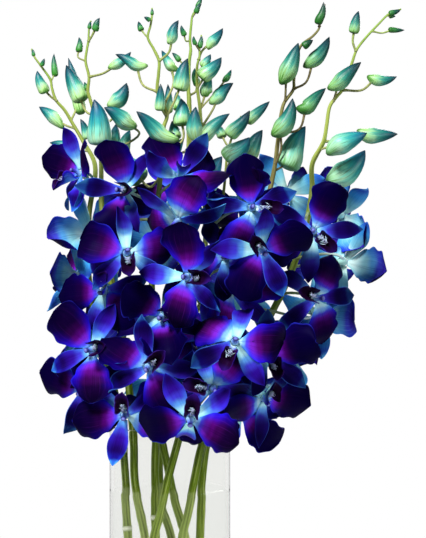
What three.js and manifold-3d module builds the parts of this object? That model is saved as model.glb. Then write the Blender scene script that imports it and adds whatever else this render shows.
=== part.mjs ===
// Blue dendrobium orchids in a straight glass vase
// Millimetres, +Z up. The origin is the middle of the vase's underside, and the bouquet's front faces -Y.

import * as THREE from "three";
import { mergeVertices } from "three/addons/utils/BufferGeometryUtils.js";
import Module from "manifold-3d";

const wasm = await Module();
wasm.setup();

// Vase and water
const VASE_DIAMETER = 95;
const VASE_HEIGHT = 200;
const VASE_WALL = 3;
const VASE_BASE = 9;
const VASE_SIDES = 36;
const WATER_LEVEL = 150;

// Neighbouring pieces keep this gap, and it is also left where one stands on another
const GAP = 0.3;

// Bloom: lengths and widths of its sepals, petals and lip
const HUB_RADIUS = 3.2;
const BLADE_THICKNESS = 0.8;
const HUB_HALF_DEPTH = 0.9;
const SEPAL = { length: 33, width: 15 };
const PETAL = { length: 34, width: 31 };
const LIP = { length: 23, width: 15 };
const COLUMN_TIP = new THREE.Vector3(0, 1.5, 9);
const CHIN_TIP = new THREE.Vector3(0, -5, -9);

// Stems: radius in the water, among the blooms, at the lowest buds and at the last bud
const STEM_RADII = [3.3, 3, 2, 0.8];
const STEM_FOOT = VASE_BASE + 2;
const STEM_SIDES = 5;
const STALK_SIDES = 3;
const PEDICEL_RADIUS = 1.3;
const PEDICEL_STEPS = 2;
const BUD_PEDICEL_RADIUS = 1.1;

// Places are read in a level view from the front: pixels, with the scale true in the plane of the vase's axis
const VIEW = { scale: 0.79, distance: 1100, middle: [213, 269], x: 34, z: 323 };

const DEGREE = Math.PI / 180;
const UP = new THREE.Vector3(0, 0, 1);
const FORWARD = new THREE.Vector3(0, 0, 1); // the way a bloom faces, in its own frame

// A spot of the view, at a depth behind the vase's axis
function spot([x, y], depth) {
  const scale = (VIEW.scale * (VIEW.distance + depth)) / VIEW.distance;
  return new THREE.Vector3(
    VIEW.x + (x - VIEW.middle[0]) * scale,
    depth,
    VIEW.z + (VIEW.middle[1] - y) * scale,
  );
}

// A skin gathers points and outward faces, and closes into a solid
class Skin {
  constructor() {
    this.points = [];
    this.faces = [];
  }

  add(point) {
    this.points.push(point.x, point.y, point.z);
    return this.points.length / 3 - 1;
  }

  triangle(a, b, c) {
    this.faces.push(a, b, c);
  }

  quad(a, b, c, d) {
    this.triangle(a, b, c);
    this.triangle(a, c, d);
  }

  solid() {
    return new wasm.Manifold(
      new wasm.Mesh({
        numProp: 3,
        vertProperties: new Float32Array(this.points),
        triVerts: new Uint32Array(this.faces),
      }),
    );
  }
}

// A closed three.js geometry as a solid, and a solid as a geometry with flat facets
function solidOf(geometry) {
  const bare = geometry.clone();
  bare.deleteAttribute("normal");
  bare.deleteAttribute("uv");
  const merged = mergeVertices(bare);
  const skin = new Skin();
  skin.points = [...merged.attributes.position.array];
  const corners = [...merged.index.array];
  for (let i = 0; i < corners.length; i += 3) {
    const [a, b, c] = corners.slice(i, i + 3);
    if (a !== b && b !== c && c !== a) {
      skin.triangle(a, b, c);
    }
  }
  return skin.solid();
}

function geometryOf(solid) {
  const mesh = solid.getMesh();
  const geometry = new THREE.BufferGeometry();
  geometry.setAttribute("position", new THREE.BufferAttribute(mesh.vertProperties, 3));
  geometry.setIndex(new THREE.BufferAttribute(mesh.triVerts, 1));
  return geometry;
}

// Boxes that don't meet need no closer look
function boxesMeet(a, b) {
  const one = a.boundingBox();
  const two = b.boundingBox();
  return [0, 1, 2].every((axis) => one.min[axis] < two.max[axis] && two.min[axis] < one.max[axis]);
}

function solidsMeet(a, b) {
  return boxesMeet(a, b) && !a.intersect(b).isEmpty();
}

// A tapered round bar through points, with closed ends
function bar(points, radii, sides) {
  const skin = new Skin();
  const rings = [];
  const tangent = new THREE.Vector3().subVectors(points[1], points[0]).normalize();
  const start = Math.abs(tangent.x) < 0.8 ? new THREE.Vector3(1, 0, 0) : new THREE.Vector3(0, 1, 0);
  const across = start.sub(tangent.clone().multiplyScalar(start.dot(tangent))).normalize();
  points.forEach((point, i) => {
    const before = points[Math.max(i - 1, 0)];
    const after = points[Math.min(i + 1, points.length - 1)];
    const along = new THREE.Vector3().subVectors(after, before).normalize();
    across.sub(along.clone().multiplyScalar(across.dot(along))).normalize();
    const other = new THREE.Vector3().crossVectors(along, across);
    const ring = [];
    for (let k = 0; k < sides; k++) {
      const angle = (2 * Math.PI * k) / sides;
      ring.push(
        skin.add(
          point
            .clone()
            .addScaledVector(across, radii[i] * Math.cos(angle))
            .addScaledVector(other, radii[i] * Math.sin(angle)),
        ),
      );
    }
    rings.push(ring);
  });
  for (let i = 0; i + 1 < rings.length; i++) {
    for (let k = 0; k < sides; k++) {
      const next = (k + 1) % sides;
      skin.quad(rings[i][k], rings[i][next], rings[i + 1][next], rings[i + 1][k]);
    }
  }
  const last = rings.at(-1);
  for (let k = 1; k + 1 < sides; k++) {
    skin.triangle(rings[0][0], rings[0][k + 1], rings[0][k]);
    skin.triangle(last[0], last[k], last[k + 1]);
  }
  return skin.solid();
}

// How a bloom holds its petals and sepals. Angles are in degrees: lift is forward from the bloom's plane at
// the root, curl is what bends on to the tip, fold raises the edges and twist turns the blade about its
// rib.
const KINDS = {
  open: {
    petal: { lift: 14, curl: -22, fold: -0.1, twist: 8 },
    dorsal: { lift: -4, curl: -12, fold: 0.16, twist: 6 },
    lateral: { lift: -8, curl: -16, fold: 0.14, twist: -8 },
    lip: { lift: 62, curl: -42, fold: 0.5, twist: 0 },
  },
  cupped: {
    petal: { lift: 26, curl: 10, fold: 0.1, twist: -4 },
    dorsal: { lift: 14, curl: 14, fold: 0.18, twist: -5 },
    lateral: { lift: 4, curl: 12, fold: 0.18, twist: -4 },
    lip: { lift: 68, curl: -30, fold: 0.55, twist: 0 },
  },
  swept: {
    petal: { lift: 6, curl: -46, fold: -0.16, twist: -14 },
    dorsal: { lift: -16, curl: -26, fold: 0.12, twist: -10 },
    lateral: { lift: -20, curl: -24, fold: 0.12, twist: 12 },
    lip: { lift: 54, curl: -50, fold: 0.45, twist: 0 },
  },
};

// The organs round the hub, by the angle that each grows at. Stations are [share of length, share of half
// width], and a ribbed blade also has a row of points along its middle.
const ROUND = [
  [0.3, 0.64],
  [0.6, 1],
  [0.87, 0.7],
];
const LANCE = [
  [0.34, 0.7],
  [0.66, 0.88],
];
const LOBED = [
  [0.24, 0.2],
  [0.54, 1],
];
const ORGANS = [
  { angle: 18, part: "petal", size: PETAL, stations: ROUND, ribbed: true, side: 1 },
  { angle: 90, part: "dorsal", size: SEPAL, stations: LANCE, ribbed: false, side: 1 },
  { angle: 162, part: "petal", size: PETAL, stations: ROUND, ribbed: true, side: -1 },
  { angle: 227, part: "lateral", size: SEPAL, stations: LANCE, ribbed: false, side: -1 },
  { angle: 270, part: "lip", size: LIP, stations: LOBED, ribbed: true, side: 1 },
  { angle: 313, part: "lateral", size: SEPAL, stations: LANCE, ribbed: false, side: 1 },
];

function onHub(angle) {
  return new THREE.Vector3(HUB_RADIUS * Math.cos(angle), HUB_RADIUS * Math.sin(angle), 0);
}

// Frame of a blade at a share t of its length: its rib's point, the way across and the way out of its face
function bladeFrame(organ, hold, length, t) {
  const angle = organ.angle * DEGREE;
  const lift = hold.lift * DEGREE;
  const curl = hold.curl * DEGREE;
  const out = new THREE.Vector3(Math.cos(angle), Math.sin(angle), 0);
  const across = new THREE.Vector3(-Math.sin(angle), Math.cos(angle), 0);
  const bend = lift + curl * t;
  const forward = (length * (Math.sin(bend) - Math.sin(lift))) / curl;
  const rise = (-length * (Math.cos(bend) - Math.cos(lift))) / curl;
  const rib = onHub(angle).addScaledVector(out, forward).addScaledVector(FORWARD, rise);
  const along = out.clone().multiplyScalar(Math.cos(bend));
  along.z = Math.sin(bend);
  const face = out.clone().multiplyScalar(-Math.sin(bend));
  face.z = Math.cos(bend);
  const turn = hold.twist * DEGREE * organ.side * t;
  across.applyAxisAngle(along, turn);
  face.applyAxisAngle(along, turn);
  return { rib, across, face };
}

// One bloom in its own frame: X across, Y toward the upper sepal, Z the way it faces. A grown one is larger
// all round by that much, to keep the gap to its neighbours.
function bloom(kind, grow = 0) {
  const skin = new Skin();
  const half = BLADE_THICKNESS / 2 + grow;
  const pair = (middle, way, away) => [
    skin.add(middle.clone().addScaledVector(way, away)),
    skin.add(middle.clone().addScaledVector(way, -away)),
  ];
  const hubPair = (degrees) => pair(onHub(degrees * DEGREE), FORWARD, HUB_HALF_DEPTH + grow);
  const corners = ORGANS.map((organ, i) => {
    const next = i + 1 < ORGANS.length ? ORGANS[i + 1].angle : ORGANS[0].angle + 360;
    return hubPair((organ.angle + next) / 2);
  });
  const ring = [];
  ORGANS.forEach((organ, i) => {
    const hold = KINDS[kind][organ.part];
    const right = corners[(i + ORGANS.length - 1) % ORGANS.length];
    const left = corners[i];
    let row = organ.ribbed ? [right, hubPair(organ.angle), left] : [right, left];
    ring.push(...row.slice(1));
    for (const [t, share] of organ.stations) {
      const { rib, across, face } = bladeFrame(organ, hold, organ.size.length, t);
      const wide = (organ.size.width / 2) * share + grow;
      const sides = organ.ribbed ? [-1, 0, 1] : [-1, 1];
      const next = sides.map((s) => {
        const lift = s * s * hold.fold * wide;
        return pair(rib.clone().addScaledVector(across, s * wide).addScaledVector(face, lift), face, half);
      });
      skinBetween(skin, row, next);
      row = next;
    }
    const { rib, face } = bladeFrame(organ, hold, organ.size.length + grow, 1);
    skinToTip(skin, row, pair(rib, face, half));
  });
  const column = skin.add(COLUMN_TIP);
  const chin = skin.add(CHIN_TIP);
  ring.forEach((point, i) => {
    const next = ring[(i + 1) % ring.length];
    skin.triangle(point[0], next[0], column);
    skin.triangle(next[1], point[1], chin);
  });
  return skin.solid();
}

// Faces between two rows of a blade. A row runs from right to left, and each entry is its front and back
// point.
function skinBetween(skin, row, next) {
  for (let j = 0; j + 1 < row.length; j++) {
    skin.quad(row[j][0], next[j][0], next[j + 1][0], row[j + 1][0]);
    skin.triangle(row[j][1], next[j + 1][1], next[j][1]);
    skin.triangle(row[j][1], row[j + 1][1], next[j + 1][1]);
  }
  skin.quad(row[0][1], next[0][1], next[0][0], row[0][0]);
  skin.quad(row.at(-1)[0], next.at(-1)[0], next.at(-1)[1], row.at(-1)[1]);
}

function skinToTip(skin, row, tip) {
  for (let j = 0; j + 1 < row.length; j++) {
    skin.triangle(row[j][0], tip[0], row[j + 1][0]);
    skin.triangle(row[j][1], row[j + 1][1], tip[1]);
  }
  skin.quad(row[0][1], tip[1], tip[0], row[0][0]);
  skin.quad(row.at(-1)[0], tip[0], tip[1], row.at(-1)[1]);
}

// Sprays, seen from the front. A stem's points run from its cut end to its last bud as [x, y, depth]. A bud's
// stalk leaves the stem near its from, and via and spur are given where they show. Nearer is a smaller depth.
const SPRAYS = {
  spray_a: {
    stem: [
      [138, 661, 2], [129.5, 538, 6], [124, 460, 8], [121, 425, 8], [113, 385, 8], [98, 330, 6], [88, 270, 4],
      [89, 215, 6], [95, 165, 10], [83.5, 142, 10], [73, 124, 10], [64.5, 110, 10], [56, 100, 10],
      [52, 88, 10], [50.5, 80, 10], [41, 66, 10], [34, 56, 10], [31.6, 48.8, 10],
    ],
    buds: [
      { from: [41, 66], elbow: [42, 65], tip: [44.5, 58.5], width: 4 },
      { from: [52, 82], elbow: [55, 74], tip: [54, 53.7], width: 6 },
      { from: [57.5, 101.7], elbow: [44.2, 91], tip: [37.2, 70.9], width: 10 },
      { from: [73.6, 130.5], elbow: [56, 117], tip: [39.1, 106.8], spur: [63.2, 128.2], width: 11 },
      { from: [72, 119.5], elbow: [80, 108], tip: [68.4, 58], width: 11, depth: 8 },
      { from: [84, 143], elbow: [87.3, 136.6], tip: [80.4, 119], width: 8, depth: -2 },
      { from: [88, 152], elbow: [74.3, 150.4], tip: [49.8, 142.7], width: 11, depth: 4 },
    ],
  },
  spray_b: {
    stem: [
      [160, 659, -18], [145.6, 538, -16], [135, 481, -15], [134, 445, -14], [132, 420, -14], [127, 370, -14],
      [117, 310, -14], [108, 260, -16], [102, 212, -20], [101, 157, -22], [99, 130, -22], [90.2, 99.6, -22],
      [88, 91, -22], [89, 77, -22], [85.6, 61, -22], [87, 49, -22], [88.4, 41.4, -22], [89.1, 28.8, -22],
      [90.9, 20.7, -22],
    ],
    buds: [
      { from: [88.7, 41.4], elbow: [95.1, 29.5], tip: [99.6, 17.9], width: 6.5 },
      { from: [85.6, 61.7], via: [78, 57], elbow: [79.3, 50.5], tip: [78.9, 37.2], width: 6.3 },
      { from: [89.5, 77.5], via: [104, 73], elbow: [114.5, 68], tip: [131, 52], spur: [108.7, 67.7],
        width: 9 },
      { from: [88, 93], elbow: [86.5, 89], tip: [84.2, 82], width: 4 },
      { from: [95, 115], via: [86.6, 112], elbow: [80.3, 97.5], tip: [66.3, 65.2], width: 16, depth: 8 },
      { from: [101, 157], elbow: [100, 139.7], tip: [94.2, 99.5], width: 21, depth: -12 },
      { from: [101, 157], via: [139.4, 133.6], elbow: [127.1, 126.7], tip: [104.2, 107.5], spur: [136,
        126], width: 15,
        depth: -14 },
      { from: [99, 130], via: [116, 114], elbow: [120, 106], tip: [126.7, 83], spur: [107.6, 105.2],
        width: 14,
        depth: -4 },
      { from: [101, 160], elbow: [113, 146], tip: [116, 124], width: 12, depth: 7 },
      { from: [101, 165], elbow: [122, 152], tip: [130, 130], width: 12, depth: 3 },
    ],
  },
  spray_c: {
    stem: [
      [196, 660, -10], [185, 538, -8], [175, 502, -7], [167.5, 466, -6], [161, 436, -4], [158, 400, -6],
      [153, 340, -14], [152, 280, -24], [156, 220, -36], [161, 170, -48], [163.5, 128, -52], [167, 115, -52],
      [157.5, 91.8, -52], [158.6, 73.5, -52], [159, 61.2, -52], [153.7, 49, -52], [147.9, 37.5, -52],
      [150.6, 25.2, -52], [152.1, 15, -52], [152.1, 8, -52],
    ],
    buds: [
      { from: [151, 20.3], elbow: [149.5, 20], tip: [144, 17], width: 4 },
      { from: [147.9, 37.5], elbow: [141.2, 29.8], tip: [138.4, 21.4], width: 5.5 },
      { from: [158.8, 60.4], via: [169, 52], elbow: [172.8, 41.5], tip: [178.5, 20.3], spur: [168, 43],
        width: 10 },
      { from: [157, 92.6], via: [143, 85], elbow: [135.3, 72.3], tip: [115.5, 54.3], spur: [147.2, 65],
        width: 10 },
      { from: [163, 105], via: [173.6, 83], elbow: [169.5, 72.5], tip: [161.7, 50.5], spur: [178, 69],
        width: 9,
        depth: 10 },
      { from: [166, 117], elbow: [159.8, 108], tip: [160.6, 83.8], width: 9, depth: -5 },
      { from: [166.5, 116], elbow: [168.3, 110], tip: [167.9, 84.2], width: 8.5, depth: 7 },
      { from: [167, 116], via: [174, 102], elbow: [180.4, 87.2], tip: [187.7, 58.5], width: 14, depth: -3 },
      { from: [162, 155], via: [182.8, 139.7], elbow: [181.6, 122.8], tip: [180.9, 98.4], width: 15,
        depth: 3 },
      { from: [162, 162], via: [192, 147], elbow: [191, 132], tip: [195.8, 106.8], spur: [198, 143],
        width: 14,
        depth: -8 },
      { from: [163, 142], elbow: [175, 137], tip: [172, 121], width: 12, depth: 9 },
      { from: [162, 166], via: [166.7, 158], elbow: [156, 143], tip: [136.5, 111.4], spur: [178, 139],
        width: 15,
        depth: -13 },
      { from: [161, 170], elbow: [171, 161], tip: [184, 138], width: 12, depth: 10 },
      { from: [160, 178], via: [150, 187], elbow: [139, 178], tip: [122, 157], width: 20, depth: 12 },
    ],
  },
  spray_d: {
    stem: [
      [157, 662, 12], [156.3, 538, 14], [155.3, 450, 16], [160, 410, 16], [170, 350, 14], [180, 280, 12],
      [186, 220, 10], [189, 150, 8], [189.2, 101.8, 8], [188.5, 90, 8], [188.9, 75, 8], [189.5, 60, 8],
      [190.8, 49.7, 8], [190, 40.6, 8], [191.2, 25.2, 8], [192.7, 15.3, 8], [197.3, 8, 8], [202, -3, 8],
    ],
    buds: [
      { from: [190, 41], via: [186, 41], elbow: [184.3, 34.8], tip: [181.2, 25.2], width: 5 },
      { from: [189.5, 63], via: [183.5, 64], elbow: [179.3, 60], tip: [172, 52.8], width: 5 },
      { from: [192, 17], elbow: [196, 12], tip: [201, 3], width: 5 },
      { from: [189, 96], via: [196, 91], elbow: [197, 84], tip: [195, 68], width: 7, depth: 8 },
      { from: [189, 120], via: [181, 116], elbow: [178, 108], tip: [176, 92], width: 9, depth: 8 },
    ],
  },
  spray_e: {
    stem: [
      [136, 659, -28], [154, 538, -27], [160, 515, -26], [168.6, 477, -25], [179, 438, -24], [189, 400, -24],
      [199, 340, -22], [205, 280, -22], [205, 220, -22], [203, 160, -22], [200, 109, -24], [197.3, 88, -24],
      [197, 76, -24], [197.3, 65, -24], [199.4, 57, -24], [199.6, 48, -24], [201.5, 35, -24],
    ],
    buds: [
      { from: [199.5, 50], elbow: [195, 44], tip: [193.8, 36], width: 4 },
      { from: [198.5, 59.7], via: [201.9, 51.3], elbow: [208.8, 43], tip: [222.9, 28.3], spur: [208.5, 49],
        width: 9.5 },
      { from: [197.3, 72], elbow: [203.4, 65.8], tip: [210.7, 54.3], width: 8 },
      { from: [197.3, 88], elbow: [203, 76.5], tip: [221.4, 57.4], width: 14, depth: -4 },
      { from: [200, 109.4], elbow: [201.9, 97], tip: [211, 76], spur: [208, 95.6], width: 11, depth: 4 },
      { from: [201, 125], via: [213.3, 108.6], elbow: [217.6, 100.2], tip: [233.2, 83], spur: [210, 103],
        width: 12 },
      { from: [200, 112], via: [214, 94], elbow: [226, 81.9], tip: [231.3, 69.6], spur: [222.5, 81],
        width: 5.5,
        depth: 9 },
      { from: [203, 150], elbow: [203, 136.6], tip: [229.5, 113.7], width: 13, depth: -4 },
      { from: [204, 195], elbow: [204, 188], tip: [222, 156.5], width: 20, depth: -9 },
    ],
  },
  spray_f: {
    stem: [
      [173, 659, -16], [182, 538, -18], [188, 512, -18], [201, 448, -16], [210, 420, -16], [228, 370, -14],
      [246, 310, -12], [260, 240, -14], [270, 190, -18], [275, 165, -20], [281, 115, -20], [284, 103.3, -20],
      [293.5, 89, -20], [294, 79.4, -20], [300.2, 47, -20], [313.6, 35.4, -20], [319.3, 27.8, -20],
      [320, 17, -20], [325, 4.3, -20],
    ],
    buds: [
      { from: [308, 40], elbow: [304, 46], tip: [313, 40], width: 7, depth: -3 },
      { from: [319, 27], elbow: [318.6, 22], tip: [323.6, 2], width: 7.4, depth: -3 },
      { from: [284, 102], elbow: [286.8, 79], tip: [298.3, 43], spur: [281, 83], width: 16, depth: -6 },
      { from: [294, 88.5], via: [306, 82.3], elbow: [314.5, 66], tip: [329.4, 36.8], spur: [304, 66],
        width: 13 },
      { from: [275, 164.7], via: [281, 150], elbow: [283, 138], tip: [292.6, 98.4], spur: [272, 134],
        width: 16,
        depth: -10 },
      { from: [279, 132], via: [299.2, 129], elbow: [306.3, 118.3], tip: [325.7, 88.2], spur: [297, 107],
        width: 13 },
      { from: [274, 172], elbow: [288, 164], tip: [305.3, 126.4], width: 22, depth: 4 },
    ],
  },
  spray_g: {
    stem: [
      [197, 662, 8], [199, 538, 7], [202, 481, 6], [207, 443, 6], [216, 412, 6], [240, 370, 6], [268, 320, 4],
      [292, 270, 0], [306, 225, -14], [312, 190, -30], [312.4, 163.7, -44], [323.7, 141.2, -50],
      [326.7, 125, -50], [330, 106, -50], [336.6, 96.7, -50], [342.3, 90, -50], [351.9, 63.2, -50],
      [356.7, 49.8, -50], [365.3, 38.3, -50], [378.7, 23.9, -50], [389, 14, -50], [401.1, 9.1, -50],
    ],
    buds: [
      { from: [388, 15], elbow: [390, 16.5], tip: [395.5, 16.5], width: 3.5, depth: 3 },
      { from: [372, 31.1], via: [382, 33], elbow: [390.1, 29.9], tip: [404.5, 30.1], width: 5 },
      { from: [356, 51], via: [352.8, 42], elbow: [353.9, 31], tip: [358.6, 11], width: 9.5 },
      { from: [333, 101], elbow: [339, 88], tip: [361, 62.2], spur: [328.4, 88], width: 14, depth: -7 },
      { from: [342.3, 90], via: [362, 90], elbow: [371.5, 84], tip: [396.8, 76.6], spur: [368, 76],
        width: 10 },
      { from: [312, 163], via: [320, 150], elbow: [333, 144], tip: [367, 133], spur: [328, 154], width: 18,
        depth: -7 },
      { from: [324, 141], elbow: [363.5, 141.2], tip: [397.7, 134], spur: [358.4, 130], width: 14, depth: 9 },
      { from: [312, 190], elbow: [340, 184], tip: [365, 150.4], spur: [327, 180], width: 22, depth: 0 },
    ],
  },
  spray_h: {
    stem: [
      [182, 662, 26], [171, 536, 28], [161.4, 502, 29], [160, 440, 30], [166, 400, 32], [186, 340, 34],
      [208, 280, 36], [220, 220, 38], [225, 180, 38], [228, 150, 38], [235, 130, 38], [241, 116, 38],
    ],
    buds: [
      { from: [228, 150], elbow: [231, 134], tip: [249.7, 110.6], width: 13, depth: -6 },
      { from: [237, 126], elbow: [249, 120], tip: [269.6, 101.4], width: 10 },
      { from: [226, 172], elbow: [229, 157], tip: [249.4, 137.4], width: 18, depth: -16 },
      { from: [226, 175], via: [241, 171.8], elbow: [249, 155], tip: [262.4, 130], width: 15, depth: -4 },
      { from: [229, 148], elbow: [222, 136], tip: [218, 122], width: 9, depth: 8 },
    ],
  },
};

// A bud is a bent spindle: from the chin at its root, past the stalk, to its tip. A small one has fewer
// faces.
const BUD_RINGS = [
  [0.3, 1],
  [0.66, 0.72],
];
const BUD_SIDES = 5;
const SMALL_BUD = 6;
const SMALL_RINGS = [[0.4, 1]];
const SMALL_SIDES = 4;

function budSolid(elbow, tip, spur, width) {
  const small = width < SMALL_BUD;
  const rings = small ? SMALL_RINGS : BUD_RINGS;
  const sides = small ? SMALL_SIDES : BUD_SIDES;
  const length = elbow.distanceTo(tip);
  const chin = spur ?? elbow.clone().lerp(tip, -0.08);
  const root = elbow.clone().lerp(chin, 0.4);
  const along = new THREE.Vector3().subVectors(tip, root);
  const way = along.clone().normalize();
  const start = Math.abs(way.y) < 0.8 ? new THREE.Vector3(0, 1, 0) : new THREE.Vector3(1, 0, 0);
  const across = start.sub(way.clone().multiplyScalar(start.dot(way))).normalize();
  const other = new THREE.Vector3().crossVectors(way, across);
  const skin = new Skin();
  const rows = rings.map(([share, wide]) => {
    const radius = (width / 2) * wide;
    const row = [];
    for (let k = 0; k < sides; k++) {
      const angle = (2 * Math.PI * k) / sides;
      const point = root.clone().addScaledVector(along, share);
      point.addScaledVector(across, radius * Math.cos(angle));
      point.addScaledVector(other, radius * Math.sin(angle));
      row.push(skin.add(point));
    }
    return row;
  });
  const first = skin.add(chin.clone().addScaledVector(way, -0.04 * length));
  const last = skin.add(tip);
  for (let k = 0; k < sides; k++) {
    const next = (k + 1) % sides;
    skin.triangle(first, rows[0][next], rows[0][k]);
    for (let i = 0; i + 1 < rows.length; i++) {
      skin.quad(rows[i][k], rows[i][next], rows[i + 1][next], rows[i + 1][k]);
    }
    skin.triangle(rows.at(-1)[k], rows.at(-1)[next], last);
  }
  return skin.solid();
}

// A stem's radius at a share of its number of points
const RADIUS_SHARES = [0, 0.25, 0.55, 1];

function stemRadius(share) {
  let i = 0;
  while (i + 2 < RADIUS_SHARES.length && share > RADIUS_SHARES[i + 1]) {
    i++;
  }
  const part = (share - RADIUS_SHARES[i]) / (RADIUS_SHARES[i + 1] - RADIUS_SHARES[i]);
  return THREE.MathUtils.lerp(STEM_RADII[i], STEM_RADII[i + 1], part);
}

// Places along a stem, every few millimetres, where stalks can grow
const ROOT_SPACING = 12;

function placesAlong(points) {
  const places = [];
  for (let i = 0; i + 1 < points.length; i++) {
    const count = Math.ceil(points[i].distanceTo(points[i + 1]) / ROOT_SPACING);
    for (let k = 0; k < count; k++) {
      places.push(points[i].clone().lerp(points[i + 1], k / count));
    }
  }
  places.push(points.at(-1).clone());
  return places;
}

// The stem's point that lies nearest to a spot of the front view
function nearestOnStem(points, from) {
  let best = null;
  let least = Infinity;
  for (let i = 0; i + 1 < points.length; i++) {
    for (let k = 0; k <= 8; k++) {
      const point = points[i].clone().lerp(points[i + 1], k / 8);
      const off = spot(from, point.y).distanceTo(point);
      if (off < least) {
        least = off;
        best = point;
      }
    }
  }
  return best;
}

const BUD_DEPTH = 3.5;
const TIP_DEPTH = 1.5;

function makeSpray(name, { stem, buds }) {
  const points = stem.map(([x, y, depth]) => spot([x, y], depth));
  points[0].z = STEM_FOOT;
  const radii = points.map((point, i) => stemRadius(i / (points.length - 1)));
  const parts = [bar(points, radii, STEM_SIDES)];
  buds.forEach((bud, i) => {
    const root = nearestOnStem(points, bud.from);
    const scale = (VIEW.scale * (VIEW.distance + root.y)) / VIEW.distance;
    const away = bud.depth ?? (i % 2 ? BUD_DEPTH : -BUD_DEPTH);
    const elbow = spot(bud.elbow, root.y + away);
    const tip = spot(bud.tip, root.y + away * TIP_DEPTH);
    const spur = bud.spur && spot(bud.spur, root.y + away);
    const sunk = (spur ? elbow.clone().lerp(spur, 0.4) : elbow.clone()).lerp(tip, 0.3);
    const stalk = bud.via ? [root, spot(bud.via, root.y + away * 0.7), sunk] : [root, sunk];
    parts.push(bar(stalk, stalk.map(() => BUD_PEDICEL_RADIUS), STALK_SIDES));
    parts.push(budSolid(elbow, tip, spur, bud.width * scale));
  });
  return { name, points, radii, parts };
}

// Blooms, seen from the front: where the hub is and at what depth, which way the bloom faces (yaw is to the
// right and pitch is up, in degrees), and where its upper sepal points (degrees from the right, turning
// left)
const FRONT = [
  { hub: [125, 415], depth: -72, yaw: -5, pitch: -5, upper: 263, kind: "open" },
  { hub: [148, 367], depth: -84, yaw: 0, pitch: -5, upper: 225, kind: "open" },
  { hub: [187, 277], depth: -90, yaw: -10, pitch: 0, upper: 175, kind: "open" },
  { hub: [213, 388], depth: -80, yaw: 0, pitch: -10, upper: 345, kind: "swept" },
  { hub: [104, 291], depth: -58, yaw: -15, pitch: 0, upper: 250, kind: "open" },
  { hub: [162, 306], depth: -76, yaw: -5, pitch: 0, upper: 210, kind: "cupped" },
  { hub: [313, 232], depth: -68, yaw: 5, pitch: 0, upper: 136, kind: "open" },
  { hub: [127, 253], depth: -72, yaw: 0, pitch: 5, upper: 93, kind: "open" },
  { hub: [252, 208], depth: -72, yaw: 15, pitch: 5, upper: 172, kind: "open" },
  { hub: [124, 190], depth: -50, yaw: -30, pitch: 0, upper: 178, kind: "cupped" },
  { hub: [178, 220], depth: -80, yaw: -30, pitch: -40, upper: 135, kind: "swept" },
  { hub: [262, 250], depth: -82, yaw: 10, pitch: -15, upper: 310, kind: "cupped" },
  { hub: [344, 262], depth: -16, yaw: 150, pitch: -5, upper: 38, kind: "open" },
  { hub: [342, 214], depth: -10, yaw: 140, pitch: 5, upper: 24, kind: "open" },
  { hub: [287, 193], depth: -18, yaw: 150, pitch: 30, upper: 240, kind: "open" },
  { hub: [80, 174], depth: -14, yaw: -60, pitch: 10, upper: 80, kind: "cupped" },
  { hub: [84, 233], depth: -16, yaw: -145, pitch: 20, upper: 118, kind: "open" },
  { hub: [178, 202], depth: -62, yaw: -10, pitch: 25, upper: 145, kind: "open" },
  { hub: [180, 176], depth: -48, yaw: 20, pitch: 35, upper: 60, kind: "cupped" },
  { hub: [226, 268], depth: -74, yaw: -10, pitch: 10, upper: 270, kind: "open" },
  { hub: [240, 206], depth: -56, yaw: 0, pitch: -20, upper: 143, kind: "swept" },
  { hub: [198, 341], depth: -62, yaw: 5, pitch: 0, upper: 225, kind: "open" },
  { hub: [235, 342], depth: -70, yaw: 0, pitch: 0, upper: 75, kind: "swept" },
  { hub: [262, 356], depth: -66, yaw: 20, pitch: 5, upper: 96, kind: "cupped" },
  { hub: [264, 398], depth: -62, yaw: 25, pitch: -20, upper: 268, kind: "open" },
  { hub: [180, 410], depth: -60, yaw: -5, pitch: -20, upper: 250, kind: "swept" },
  { hub: [238, 291], depth: -54, yaw: 0, pitch: 0, upper: 315, kind: "open" },
  { hub: [316, 298], depth: -46, yaw: 35, pitch: 0, upper: 0, kind: "open" },
  { hub: [288, 352], depth: -46, yaw: 70, pitch: 30, upper: 90, kind: "open" },
  { hub: [318, 315], depth: -22, yaw: 130, pitch: -10, upper: 300, kind: "open" },
  { hub: [88, 274], depth: -8, yaw: -105, pitch: 0, upper: 125, kind: "cupped" },
  { hub: [82, 353], depth: -14, yaw: -135, pitch: 0, upper: 150, kind: "open" },
  { hub: [84, 390], depth: -46, yaw: -35, pitch: -10, upper: 240, kind: "open" },
  { hub: [182, 378], depth: -44, yaw: 5, pitch: 0, upper: 150, kind: "open" },
  { hub: [151, 400], depth: -14, yaw: -10, pitch: -20, upper: 300, kind: "swept" },
  { hub: [240, 404], depth: -34, yaw: 15, pitch: -15, upper: 30, kind: "open" },
  { hub: [190, 419], depth: -84, yaw: 5, pitch: -28, upper: 262, kind: "swept" },
  { hub: [92, 350], depth: -36, yaw: -20, pitch: 5, upper: 200, kind: "cupped" },
];

// The blooms that the front view hides: turned away round the back of the mass, by a spiral and a seeded draw
const BACK_COUNT = 11;
const BACK = { middle: [213, 292], across: 88, deep: 62, tall: 84, from: 18, to: 86 };
const GOLDEN_ANGLE = 137.5;
const SEED = 20;

function seeded(seed) {
  let state = seed;
  return () => {
    state = (state * 1664525 + 1013904223) % 4294967296;
    return state / 4294967296;
  };
}

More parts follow.
